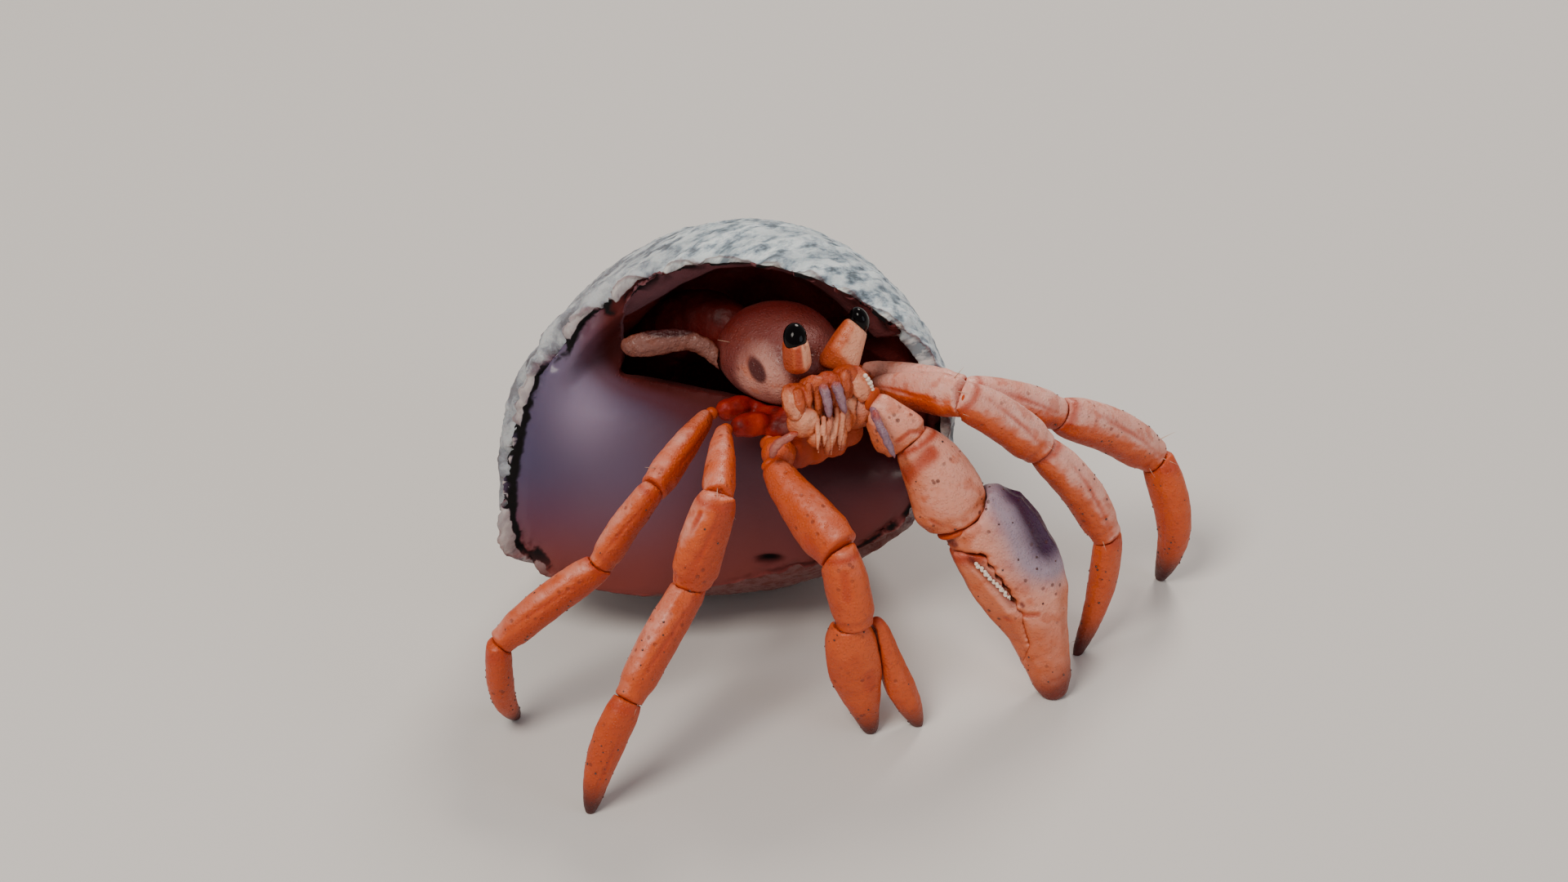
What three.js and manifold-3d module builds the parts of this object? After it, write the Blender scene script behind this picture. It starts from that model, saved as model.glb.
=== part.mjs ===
// A young land hermit crab, walking out of the worn nerite shell that it carries.
// Millimetres, +Z up. The crab faces -Y and a little towards +X; its right side is at -X.

import * as THREE from 'three';
import * as BufferGeometryUtils from 'three/addons/utils/BufferGeometryUtils.js';
import { ConvexGeometry } from 'three/addons/geometries/ConvexGeometry.js';
import Module from 'manifold-3d';

const wasm = await Module();
wasm.setup();

// ---- Driving dimensions -------------------------------------------------------------

const gap = 0.15;          // clearance that every pair of neighbouring pieces keeps
const tuck = 0.4;          // how far a segment starts back inside the end of the one before
const sink = 0.12;         // how far a foot reaches below the floor before it is cut flat
const turn = Math.PI * 2;

const crab = {
  rostrum: [3.6, -1.4, 15.7],   // the front edge of the shield, between the eyestalks
  heading: 27,                  // degrees that the crab is turned towards +X
  pitch: 4,                     // degrees that its head is raised
};

const legSizes = {
  merus: { wide: 1.45, deep: 1.85 },
  carpus: { wide: 1.55, deep: 1.9 },
  propodus: { wide: 1.5, deep: 1.85 },
  dactyl: { wide: 1.2, deep: 1.5 },
};

const shellSizes = {
  face: [0, 0, 11.5],      // middle of the mouth
  lean: 15,                // degrees that the mouth leans back
  heart: [-0.6, -0.6],     // the point of the mouth that its outline is drawn round
  wall: 0.85,
  lip: 0.5,
  apex: [-6.5, -2.7, -11.5],
  axis: [-0.68, 0.097, -0.727],
  expansion: 2.6,          // growth of the whorl in one turn
  swell: 0.78,             // how far the whorl swells behind the lip
  swellAngle: 0.31,
};

const colours = {
  limb: 0xe08a5c,
  claw: 0xd99a7c,
  tip: 0xb4552a,
  shield: 0xc9a096,
  soft: 0xc0603a,
  eye: 0x120c0c,
  shell: 0xaeb7b6,
};

const materials = Object.fromEntries(Object.entries(colours).map(([name, color]) => [
  name,
  new THREE.MeshStandardMaterial({ color, roughness: name === 'eye' ? 0.12 : 0.45, metalness: 0 }),
]));

// ---- Shared tools -------------------------------------------------------------------

const vector = (p) => new THREE.Vector3(...p);
const radians = THREE.MathUtils.degToRad;

// A direction from its bearing in the floor plane (from +X towards +Y) and its rise, in degrees.
function bearing(azimuth, rise) {
  const a = radians(azimuth);
  const e = radians(rise);
  return new THREE.Vector3(Math.cos(e) * Math.cos(a), Math.cos(e) * Math.sin(a), Math.sin(e));
}

// Straight-line reading of a table of [t, value, value...] rows.
function read(table, t, column) {
  let i = 1;
  while (i < table.length - 1 && table[i][0] < t) i += 1;
  const [a, b] = [table[i - 1], table[i]];
  const k = THREE.MathUtils.clamp((t - a[0]) / (b[0] - a[0]), 0, 1);
  const s = k * k * (3 - 2 * k);
  return a[column] + (b[column] - a[column]) * s;
}

// A ball with its rings moved: place(ring, angle) gives each point, and the first and last
// rings are the poles, so the result is always closed.
function reshapedBall(sides, rings, place) {
  const ball = new THREE.SphereGeometry(1, sides, rings);
  const { position, uv } = ball.attributes;
  for (let i = 0; i < position.count; i += 1) {
    const ring = Math.round((1 - uv.getY(i)) * rings);
    const column = ring === 0 || ring === rings ? 0 : i % (sides + 1) % sides;
    const p = place(ring, (column / sides) * turn);
    position.setXYZ(i, p.x, p.y, p.z);
  }
  ball.deleteAttribute('normal');
  ball.deleteAttribute('uv');
  return faceOut(BufferGeometryUtils.mergeVertices(ball, 1e-5));
}

function faceOut(geometry) {
  const p = geometry.attributes.position;
  const index = geometry.index.array;
  const [a, b, c] = [new THREE.Vector3(), new THREE.Vector3(), new THREE.Vector3()];
  let volume = 0;
  for (let i = 0; i < index.length; i += 3) {
    a.fromBufferAttribute(p, index[i]);
    b.fromBufferAttribute(p, index[i + 1]);
    c.fromBufferAttribute(p, index[i + 2]);
    volume += a.dot(b.cross(c));
  }
  if (volume < 0) {
    for (let i = 0; i < index.length; i += 3) [index[i], index[i + 1]] = [index[i + 1], index[i]];
  }
  return geometry;
}

function toSolid(geometry) {
  const merged = geometry.clone();
  merged.deleteAttribute('normal');
  merged.deleteAttribute('uv');
  const welded = BufferGeometryUtils.mergeVertices(merged, 1e-5);
  return new wasm.Manifold(new wasm.Mesh({
    numProp: 3,
    vertProperties: new Float32Array(welded.attributes.position.array),
    triVerts: new Uint32Array(welded.index.array),
  }));
}

function toGeometry(solid) {
  const mesh = solid.getMesh();
  const geometry = new THREE.BufferGeometry();
  const points = new Float32Array((mesh.vertProperties.length / mesh.numProp) * 3);
  for (let i = 0; i < points.length / 3; i += 1) {
    for (let k = 0; k < 3; k += 1) points[i * 3 + k] = mesh.vertProperties[i * mesh.numProp + k];
  }
  geometry.setAttribute('position', new THREE.BufferAttribute(points, 3));
  geometry.setIndex(new THREE.BufferAttribute(new Uint32Array(mesh.triVerts), 1));
  return geometry;
}

// A limb-like body along a curve. form rows are [t, width, depth] factors; the ends are
// rounded, more sharply where blunt is large. grow adds an even skin, used for clearances.
function limb({ path, wide, deep, form, above, sides = 10, rings = 8, blunt = 14, grow = 0 }) {
  return reshapedBall(sides, rings, (ring, angle) => {
    const t = (1 - Math.cos((Math.PI * ring) / rings)) / 2;
    const along = path.getTangent(t);
    const side = new THREE.Vector3().crossVectors(along, above).normalize();
    const top = new THREE.Vector3().crossVectors(side, along).normalize();
    const end = ring === 0 || ring === rings ? 0 : Math.sqrt(1 - Math.abs(2 * t - 1) ** blunt);
    const stretch = grow * (2 * t - 1);
    return path.getPoint(t)
      .addScaledVector(along, stretch)
      .addScaledVector(side, (wide / 2 * read(form, t, 1) + grow) * end * Math.cos(angle))
      .addScaledVector(top, (deep / 2 * read(form, t, 2) + grow) * end * Math.sin(angle));
  });
}

const forms = {
  base: [[0, 0.7, 0.7], [0.5, 1, 1], [1, 0.85, 0.85]],
  merus: [[0, 0.5, 0.5], [0.3, 0.74, 0.72], [0.65, 0.94, 0.94], [0.9, 1, 1], [1, 0.98, 0.98]],
  carpus: [[0, 0.84, 0.84], [0.3, 0.97, 0.97], [0.7, 1, 1], [1, 0.96, 0.96]],
  propodus: [[0, 0.84, 0.86], [0.25, 0.98, 1], [0.6, 1, 1], [0.85, 0.92, 0.92], [1, 0.88, 0.86]],
  dactyl: [[0, 0.95, 0.95], [0.25, 1, 1], [0.5, 0.88, 0.9], [0.75, 0.64, 0.66], [0.92, 0.4, 0.4],
    [1, 0.3, 0.28]],
  egg: [[0, 0.9, 0.9], [0.5, 1, 1], [1, 0.9, 0.9]],
};

const group = new THREE.Group();

function add(name, solid, material) {
  const mesh = new THREE.Mesh(toGeometry(solid), materials[material]);
  mesh.name = name;
  group.add(mesh);
}

const floorBlock = new THREE.BoxGeometry(80, 80, 10);
floorBlock.translate(0, 0, -5);
const belowFloor = toSolid(floorBlock);

// ---- The crab's own frame -----------------------------------------------------------

const left = bearing(crab.heading, 0);
const ahead = bearing(crab.heading - 90, crab.pitch);
const up = new THREE.Vector3().crossVectors(ahead, left);

// A point of the body, from the rostrum: forward, to the crab's left, and up.
const onBody = (f, l, u) => vector(crab.rostrum)
  .addScaledVector(ahead, f).addScaledVector(left, l).addScaledVector(up, u);

// A curve through points of the world.
const throughPoints = (points) => new THREE.CatmullRomCurve3(points, false, 'centripetal');

// ---- Carapace and trunk -------------------------------------------------------------

const carapaceForm = [[0, 0.55, 0.6], [0.15, 0.8, 0.85], [0.5, 1, 1], [0.8, 0.95, 0.92], [1, 0.7, 0.7]];
const carapace = (grow) => toSolid(limb({
  path: throughPoints([onBody(0.2, 0, -1.3), onBody(-3, 0, -1.4), onBody(-6.2, 0, -1.8)]),
  wide: 5.4, deep: 4.2, form: carapaceForm, above: up, sides: 14, rings: 9, blunt: 4, grow,
}));

const legHips = {
  right_front_leg: [-0.8, -4.0, -3.0],
  right_rear_leg: [-2.2, -4.0, -2.9],
  left_front_leg: [-0.8, 3.3, -3.0],
  left_rear_leg: [-2.2, 3.5, -2.9],
};
const coxaWidth = 1.24;

// The trunk under the carapace, with the first joints of the legs standing out of it.
const trunkForm = [[0, 0.95, 1], [0.45, 1, 0.95], [1, 0.8, 0.6]];
function trunk(grow) {
  let body = toSolid(limb({
    path: throughPoints([onBody(0.9, 0, -3.6), onBody(-1.5, 0, -3.4), onBody(-4.2, 0, -2.7)]),
    wide: 4.6, deep: 2.1, form: trunkForm, above: up, sides: 12, rings: 6, blunt: 4, grow,
  }));
  for (const [f, l, u] of Object.values(legHips)) {
    const side = Math.sign(l);
    const path = throughPoints([onBody(f, side * 1.5, u - 0.25), onBody(f, l - side * 0.25, u)]);
    body = body.add(toSolid(limb({
      path, wide: coxaWidth, deep: coxaWidth, form: forms.base, above: up,
      sides: 7, rings: 4, blunt: 4, grow,
    })));
  }
  return body;
}
const carapaceSkin = carapace(gap);
const trunkSkin = trunk(gap);

// The soft abdomen, curled down into the whorl behind the crab.
const abdomenPath = throughPoints([
  onBody(-6.0, 0, -1.9), vector([-1.6, 6.2, 12.6]), vector([-4.2, 7.4, 9.2]), vector([-4.1, 7.1, 6.3]),
]);
const abdomenForm = [[0, 0.8, 0.8], [0.25, 1, 1], [0.7, 0.8, 0.8], [1, 0.45, 0.45]];
const abdomen = toSolid(limb({
  path: abdomenPath, wide: 3.8, deep: 3.2, form: abdomenForm, above: new THREE.Vector3(0, 1, 0.2),
  sides: 10, rings: 8, blunt: 5,
})).subtract(carapaceSkin).subtract(trunkSkin);

// ---- Limbs --------------------------------------------------------------------------

// Builds one segment after another. Each starts inside the end of the one before and is cut
// back to clear it, so the joints nest.
function chain(name, hip, segments, neighbours, flat = true) {
  let from = hip.clone();
  let before = neighbours;
  const made = [];
  segments.forEach((segment, i) => {
    const along = bearing(segment.azimuth, segment.rise);
    const to = from.clone().addScaledVector(along, segment.length);
    const roll = radians(segment.roll ?? 0);
    const side = new THREE.Vector3().crossVectors(along, new THREE.Vector3(0, 0, 1)).normalize()
      .applyAxisAngle(along, roll);
    const top = new THREE.Vector3().crossVectors(side, along);
    const last = i === segments.length - 1;
    if (last && flat) to.z = -sink;
    const middle = from.clone().lerp(to, 0.5)
      .addScaledVector(top, segment.bow ?? 0);
    const start = from.clone().addScaledVector(top, segment.offset ?? 0)
      .addScaledVector(along, i > 0 ? -(segment.tuck ?? tuck) : 0);
    const shape = (grow) => toSolid(limb({
      path: throughPoints([start, middle, to]),
      wide: segment.wide, deep: segment.deep, form: forms[segment.form ?? segment.part],
      above: top, blunt: segment.blunt ?? 14, rings: segment.rings ?? 8, grow,
    }));
    let solid = shape(0);
    for (const skin of before) solid = solid.subtract(skin);
    if (last && flat) solid = solid.subtract(belowFloor);
    made.push({ name: `${name}_${segment.part}`, solid, skin: shape(gap), from, to, top, side });
    before = [shape(gap)];
    from = to;
  });
  return made;
}

// Walking legs: bearings and rises of merus, carpus, propodus and dactyl, with their lengths.
// stout scales the section of each segment.
const legs = {
  right_front_leg: {
    stout: [1, 1.2, 1.05, 1.15],
    steps: [[-92, -1, 5.0], [-142, -70, 4.1], [-129, -40, 5.7], [-144, -67, 5.4]],
    bows: [0.1, 0.15, 0.2, 0.35],
  },
  right_rear_leg: {
    stout: [0.95, 0.75, 0.9, 0.95],
    steps: [[-119, -12, 5.0], [-153, -51, 4.1], [-162, -34, 5.6], [73, -71, 5.4]],
    bows: [0.1, 0.15, 0.2, -0.75],
  },
  left_front_leg: {
    stout: [1.15, 1.08, 1.0, 1.06],
    steps: [[-35, 15, 4.9], [12, -42, 4.9], [9, -58, 6.1], [-130, -71, 6.2]],
    bows: [0.1, 0.2, 0.35, -0.7],
  },
  left_rear_leg: {
    stout: [1.0, 0.98, 1.18, 1.3],
    steps: [[-27, 4, 5.1], [24, -28, 5.4], [25, -37, 6.5], [-40, -85, 7.2]],
    bows: [0.1, 0.2, 0.35, 1.0],
  },
};

const parts = ['merus', 'carpus', 'propodus', 'dactyl'];
const besideLegs = { left: [], right: [] };
for (const [name, leg] of Object.entries(legs)) {
  const besides = besideLegs[name.split('_')[0]];
  const segments = leg.steps.map(([azimuth, rise, length], i) => ({
    part: parts[i], azimuth, rise, length, bow: leg.bows[i],
    wide: legSizes[parts[i]].wide * leg.stout[i], deep: legSizes[parts[i]].deep * leg.stout[i],
  }));
  const made = chain(name, onBody(...legHips[name]), segments, [trunkSkin, carapaceSkin, ...besides]);
  besides.push(made[0].skin);
  for (const piece of made) add(piece.name, piece.solid, piece.name.endsWith('dactyl') ? 'tip' : 'limb');
}

// ---- Claws --------------------------------------------------------------------------

// A rod or plate along a few points of the world.
const rod = (points, wide, deep, form, above, extra = {}) => toSolid(limb({
  path: throughPoints(points), wide, deep, form, above, rings: 7, sides: 8, blunt: 5, ...extra,
}));

Object.assign(forms, {
  clawCarpus: [[0, 0.6, 0.5], [0.3, 0.86, 0.84], [0.65, 1, 1], [0.9, 0.98, 0.98], [1, 0.92, 0.92]],
  bigHand: [[0, 0.8, 0.78], [0.12, 0.94, 0.96], [0.3, 1, 1], [0.4, 0.97, 0.94], [0.5, 0.92, 0.82],
    [0.6, 0.82, 0.64], [0.72, 0.7, 0.48], [0.9, 0.6, 0.4], [1, 0.5, 0.34]],
  smallHand: [[0, 0.88, 0.78], [0.2, 1, 1], [0.5, 0.94, 0.94], [0.75, 0.66, 0.58], [0.92, 0.46, 0.36],
    [1, 0.4, 0.28]],
  smallFinger: [[0, 0.6, 0.6], [0.3, 0.8, 0.8], [0.65, 1, 1], [0.85, 0.8, 0.8], [1, 0.45, 0.45]],
});

const clawHips = { big: [1.58, 2.0, -2.0], small: [0.75, -2.55, -4.3] };
const clawRoots = { big: [0.2, 1.35, -3.5], small: [0.1, -1.35, -3.9] };
const clawBaseWidths = { big: 1.75, small: 1.6 };
function clawBase(side, grow) {
  const path = [onBody(...clawRoots[side]), onBody(...clawHips[side])];
  return rod(path, clawBaseWidths[side], clawBaseWidths[side], forms.base, up, { grow });
}
const clawBaseSkins = { big: clawBase('big', gap), small: clawBase('small', gap) };
for (const side of ['big', 'small']) {
  add(`${side}_claw_base`, clawBase(side, 0).subtract(trunkSkin).subtract(carapaceSkin), 'limb');
}

const bigArm = chain('big_claw', onBody(...clawHips.big), [
  { part: 'merus', azimuth: -28, rise: -45, length: 2.5, wide: 1.8, deep: 2.5, roll: -20 },
  { part: 'carpus', form: 'clawCarpus', azimuth: -22, rise: -58, length: 4.4, wide: 2.6, deep: 3.4,
    roll: -33, bow: 0.45, offset: 0.3 },
  { part: 'hand', form: 'bigHand', azimuth: -18, rise: -59, length: 9.6, wide: 2.8, deep: 4.6,
    roll: -33, bow: 1.1, offset: 1.5, tuck: 0.9, blunt: 10, rings: 10 },
], [clawBaseSkins.big, trunkSkin, carapaceSkin]);

const smallArm = chain('small_claw', onBody(...clawHips.small), [
  { part: 'merus', azimuth: -49, rise: -26, length: 5.1, wide: 2.2, deep: 2.8, bow: -0.15 },
  { part: 'carpus', azimuth: -44, rise: -75, length: 3.6, wide: 1.9, deep: 2.0 },
  { part: 'hand', form: 'smallHand', azimuth: -10, rise: -82, length: 5.9, wide: 1.7, deep: 2.4,
    roll: -11, bow: -0.3, offset: -0.3 },
], [clawBaseSkins.small, trunkSkin, carapaceSkin]);

// The gape of the big claw: everything on its inner side past the hinge is the movable finger.
const bigHand = bigArm.pop();
const gape = { hinge: 0.75, teeth: 6, tooth: 0.16, lift: 0.2, reach: 6.4, end: 8.8, drop: -1.6 };
const gapeShape = new THREE.Shape();
gapeShape.moveTo(gape.hinge, -4);
gapeShape.lineTo(gape.hinge, -0.6);
for (let i = 0; i <= gape.teeth * 2; i += 1) {
  const s = gape.hinge + 0.5 + (i / (gape.teeth * 2)) * 3.8;
  gapeShape.lineTo(s, gape.lift + 0.3 * Math.sin((s / 8) * Math.PI) + (i % 2) * gape.tooth);
}
gapeShape.lineTo(gape.reach, gape.lift);
gapeShape.lineTo(gape.end, gape.drop);
gapeShape.lineTo(gape.end, -4);
gapeShape.closePath();
const handAlong = bigHand.to.clone().sub(bigHand.from).normalize();
const handSide = new THREE.Vector3().crossVectors(handAlong, bigHand.top);
function gapePrism(shiftAlong, shiftTop) {
  const prism = new THREE.ExtrudeGeometry(gapeShape, { depth: 8, bevelEnabled: false });
  prism.translate(shiftAlong, shiftTop, -4);
  prism.applyMatrix4(new THREE.Matrix4().makeBasis(handAlong, bigHand.top, handSide)
    .setPosition(bigHand.from));
  return toSolid(prism);
}
for (const piece of [...bigArm, ...smallArm]) {
  add(piece.name === 'small_claw_hand' ? 'small_claw_palm' : piece.name, piece.solid, 'claw');
}
add('big_claw_palm', bigHand.solid.subtract(gapePrism(0, 0)), 'claw');
add('big_claw_finger', bigHand.solid.intersect(gapePrism(gap, -gap)), 'tip');

const smallHand = smallArm[smallArm.length - 1];
const fingerTip = vector([8.4, -7.3, -sink]);
const fingerRoot = smallHand.from.clone().lerp(smallHand.to, -0.02).addScaledVector(bearing(30, 0), 1.0);
add('small_claw_finger', rod(
  [fingerRoot, fingerRoot.clone().lerp(fingerTip, 0.5).addScaledVector(bearing(15, 0), -0.15), fingerTip],
  1.3, 1.3, forms.smallFinger, smallHand.side, { rings: 9, blunt: 8 },
).subtract(smallHand.skin).subtract(smallArm[1].skin).subtract(belowFloor), 'tip');

// ---- Small walking legs folded against the body -------------------------------------

const smallLegs = {
  right: [
    onBody(-3.4, -2.2, -2.2), vector([-1.5, 1.3, 14.7]), vector([-3.2, 1.15, 14.65]),
    vector([-4.8, 1.4, 14.2]),
  ],
  left: [onBody(-3.6, 2.2, -2.3), onBody(-4.0, 3.3, -2.2), onBody(-3.9, 4.2, -2.6)],
};
for (const [side, points] of Object.entries(smallLegs)) {
  add(`${side}_small_leg`, rod(points, 0.95, 1.25, forms.merus, up, { rings: 9 })
    .subtract(carapaceSkin).subtract(trunkSkin), 'limb');
}

// ---- Head ---------------------------------------------------------------------------

const eyes = {
  right: { root: [0.3, -0.85, -0.2], reach: [0.0, -0.09, 1.5], look: [0.7, -0.3, 0.65], above: ahead },
  left: { root: [0.25, 0.95, -0.45], reach: [-0.26, 1.4, 1.5], look: [0.1, 1, 0.2], above: up },
};
const eyeGap = 0.06;
const headSkins = [
  carapaceSkin, trunkSkin, ...Object.values(clawBaseSkins), bigArm[0].skin, smallArm[0].skin,
];
const clearOf = (solid, skins) => skins.reduce((rest, skin) => rest.subtract(skin), solid);

for (const [side, eye] of Object.entries(eyes)) {
  const root = onBody(...eye.root);
  const centre = onBody(...eye.root.map((value, k) => value + eye.reach[k]));
  const along = centre.clone().sub(root).normalize();
  const look = onBody(...eye.look).sub(onBody(0, 0, 0)).normalize();
  const cornea = (grow) => rod(
    [centre.clone().addScaledVector(look, -0.45), centre.clone().addScaledVector(look, 0.4)],
    1.1, 1.4, forms.egg, up, { blunt: 2, sides: 10, rings: 7, grow });
  const stalk = rod(
    [root, root.clone().lerp(centre, 0.5), centre.clone().addScaledVector(along, 0.1)],
    1.3, 1.5, [[0, 1, 1], [0.5, 0.92, 0.92], [1, 0.82, 0.86]], eye.above);
  add(`${side}_eye`, cornea(0), 'eye');
  add(`${side}_eyestalk`, stalk.subtract(cornea(eyeGap)).subtract(carapaceSkin), 'limb');
}

// Mouthparts and feelers of one side, mirrored for the other: [points, wide, deep, form].
const mouth = {
  maxilliped: [[[0.75, 0.9, -1.45], [1.3, 0.92, -2.1], [1.45, 0.78, -3.1]], 1.3, 1.0, 'egg'],
  palp: [[[1.75, 0.42, -2.3], [1.95, 0.36, -3.1], [1.85, 0.34, -3.95]], 0.5, 0.5, 'egg'],
  antennule: [[[0.75, 0.26, -0.75], [1.75, 0.3, -0.85], [2.25, 0.38, -1.95]], 0.5, 0.5, 'egg'],
  antenna_base: [[[0.5, 1.45, -0.8], [1.2, 1.55, -1.1], [1.7, 1.65, -1.95]], 1.1, 1.0, 'base'],
};
const flagella = {
  right: [onBody(2.15, -1.8, -2.15), vector([2.05, -4.3, 13.0]), vector([1.8, -4.2, 12.2])],
  left: [onBody(2.05, 1.75, -2.05), vector([6.45, -4.15, 14.0]), vector([7.2, -4.6, 12.4])],
};
for (const [side, sign] of Object.entries({ right: -1, left: 1 })) {
  const skins = [...headSkins];
  for (const [name, [points, wide, deep, form]] of Object.entries(mouth)) {
    const path = points.map(([f, l, u]) => onBody(f, sign * l, u));
    const shape = (grow) => rod(path, wide, deep, forms[form], ahead, { grow });
    add(`${side}_${name}`, clearOf(shape(0), skins), name === 'antennule' ? 'shield' : 'limb');
    skins.push(shape(gap));
  }
  add(`${side}_antenna`, clearOf(rod(flagella[side], 0.55, 0.55, forms.egg, ahead), skins), 'shield');
}

add('carapace', carapace(0), 'shield');
add('trunk', trunk(0).subtract(carapaceSkin), 'soft');
add('abdomen', abdomen, 'soft');

// ---- Shell --------------------------------------------------------------------------

const lean = radians(shellSizes.lean);
const faceUp = new THREE.Vector3(0, Math.sin(lean), Math.cos(lean));
const faceOutward = new THREE.Vector3(0, -Math.cos(lean), Math.sin(lean));
const inShell = (u, v, w) => vector(shellSizes.face)
  .addScaledVector(new THREE.Vector3(1, 0, 0), u).addScaledVector(faceUp, v).addScaledVector(faceOutward, w);

// The mouth's outline: a rounded D with a drawn-out corner where the lip meets the deck.
function mouthRadius(a) {
  const corner = 0.9 * Math.exp(-(((a - radians(213)) / radians(13)) ** 2));
  return 8.6 + 0.27 * Math.cos(a) - 0.17 * Math.sin(a) + 0.98 * Math.cos(2 * a) + 0.64 * Math.sin(2 * a)
    + 0.34 * Math.cos(3 * a) - 0.43 * Math.sin(3 * a) + corner;
}

// Growth of the mouth back along its spiral: turned about the axis and shrunk towards the apex.
// The whorls run into one another, so the shell's outside is the hull of them all.
const growthColumns = 48;
const growthRows = 48;
const growthTurns = 1.6;
const apex = vector(shellSizes.apex);
const axis = vector(shellSizes.axis).normalize();
const whorlPoints = [];
for (let row = 0; row <= growthRows; row += 1) {
  const age = (row / growthRows) * growthTurns * turn;
  const swell = shellSizes.swell * (1 - Math.exp(-age / shellSizes.swellAngle));
  for (let column = 0; column < growthColumns; column += 1) {
    const a = (column / growthColumns) * turn;
    const r = mouthRadius(a) + swell;
    whorlPoints.push(new THREE.Vector3(
      shellSizes.heart[0] + r * Math.cos(a), shellSizes.heart[1] + r * Math.sin(a), 0)
      .sub(apex)
      .applyAxisAngle(axis, age)
      .multiplyScalar(shellSizes.expansion ** (-age / turn))
      .add(apex));
  }
}
const whorlMesh = new THREE.Mesh(
  new ConvexGeometry(whorlPoints), new THREE.MeshBasicMaterial({ side: THREE.DoubleSide }));
const ray = new THREE.Raycaster();
const heart = new THREE.Vector3(...shellSizes.heart, 0);

// Distance from the heart of the mouth to the outermost whorl, back at an angle to the face.
function hullRadius(a, back) {
  const direction = new THREE.Vector3(
    Math.cos(back) * Math.cos(a), Math.cos(back) * Math.sin(a), -Math.sin(back));
  ray.set(heart, direction);
  const hits = ray.intersectObject(whorlMesh);
  return hits.length ? hits[hits.length - 1].distance : mouthRadius(a);
}

// The same with its creases rounded by a small average, except close to the lip.
const blur = { reach: radians(9), from: 0.45 };
function whorlRadius(a, back) {
  if (back <= 0) return mouthRadius(a);
  const exact = hullRadius(a, back);
  const reach = blur.reach * Math.min(1, back / blur.from);
  let sum = exact;
  const spread = Math.min(3, 1 / Math.max(0.05, Math.cos(back)));
  for (let k = 0; k < 6; k += 1) {
    const spin = (k / 6) * turn;
    const nearBack = Math.max(0.001, back + reach * Math.sin(spin));
    sum += hullRadius(a + reach * spread * Math.cos(spin), nearBack);
  }
  return sum / 7;
}

function shellPoint(a, back, r) {
  return inShell(
    heart.x + r * Math.cos(back) * Math.cos(a),
    heart.y + r * Math.cos(back) * Math.sin(a),
    -r * Math.sin(back),
  );
}

// How far round the dome its rim starts: the lip is worn back where the left legs pass over it.
const worn = { at: radians(14), width: radians(15), depth: 1.15 };
function rimBack(a) {
  const off = Math.atan2(Math.sin(a - worn.at), Math.cos(a - worn.at));
  return Math.asin((worn.depth * Math.exp(-((off / worn.width) ** 2))) / mouthRadius(a));
}

// The underside is worn flatter where the shell rests; height is that of its inner side.
const bottom = { from: 2, lowest: -0.85 };
function settle(p, height = -0.08) {
  const k = Math.max(0, (bottom.from + height - p.z) / (bottom.from - bottom.lowest));
  p.z -= bottom.lowest * k * k;
  return p;
}

const faceRings = 2;
const domeRings = 12;
const quarter = Math.PI / 2;
const outer = toSolid(reshapedBall(36, faceRings + domeRings, (ring, a) => {
  if (ring < faceRings) {
    const r = mouthRadius(a) * (ring / faceRings);
    return inShell(heart.x + r * Math.cos(a), heart.y + r * Math.sin(a), 0.3 * (1 - (ring / faceRings) ** 2));
  }
  const back = rimBack(a) + ((ring - faceRings) / domeRings) * (quarter - rimBack(a));
  return settle(shellPoint(a, back, whorlRadius(a, back)));
}));

const hollowFrom = radians(7);
const hollowRings = 9;
const hollow = toSolid(reshapedBall(24, hollowRings, (ring, a) => {
  const start = whorlRadius(a, hollowFrom) - shellSizes.wall;
  const depth = start * Math.sin(hollowFrom);
  if (ring < 2) {
    const r = start * Math.cos(hollowFrom) * (ring / 2);
    return inShell(heart.x + r * Math.cos(a), heart.y + r * Math.sin(a), -depth);
  }
  const back = hollowFrom + ((ring - 2) / (hollowRings - 2)) * (quarter - hollowFrom);
  return settle(shellPoint(a, back, whorlRadius(a, back) - shellSizes.wall), shellSizes.wall);
}));

// The open D above the deck's straight edge, set further in from the lip at its left end.
const opening = { right: radians(-6), left: radians(157), steps: 20, leftRim: 2.7, rimStart: radians(112) };
const openingShape = new THREE.Shape();
for (let i = 0; i <= opening.steps; i += 1) {
  const a = opening.right + ((opening.left - opening.right) * i) / opening.steps;
  const k = THREE.MathUtils.smoothstep(a, opening.rimStart, opening.left);
  const r = mouthRadius(a) - shellSizes.lip - opening.leftRim * k ** 1.3;
  const [x, y] = [heart.x + r * Math.cos(a), heart.y + r * Math.sin(a)];
  if (i === 0) openingShape.moveTo(x, y);
  else openingShape.lineTo(x, y);
}
openingShape.closePath();
const openingPrism = new THREE.ExtrudeGeometry(openingShape, { depth: 3.2, bevelEnabled: false });
openingPrism.translate(0, 0, -1.9);
const toFace = new THREE.Matrix4().makeBasis(new THREE.Vector3(1, 0, 0), faceUp, faceOutward)
  .setPosition(vector(shellSizes.face));
openingPrism.applyMatrix4(toFace);

add('shell', outer.subtract(hollow).subtract(toSolid(openingPrism)).subtract(belowFloor), 'shell');

// ---- Origin: the middle of the footprint, on the floor ------------------------------

const bounds = new THREE.Box3().setFromObject(group);
const middle = bounds.getCenter(new THREE.Vector3());
group.position.set(-middle.x, -middle.y, -bounds.min.z);
group.updateMatrixWorld(true);

export default group;
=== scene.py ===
import math
from functools import partial
import bpy
import bmesh
import numpy as np
from mathutils import Matrix, Vector, noise


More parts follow.
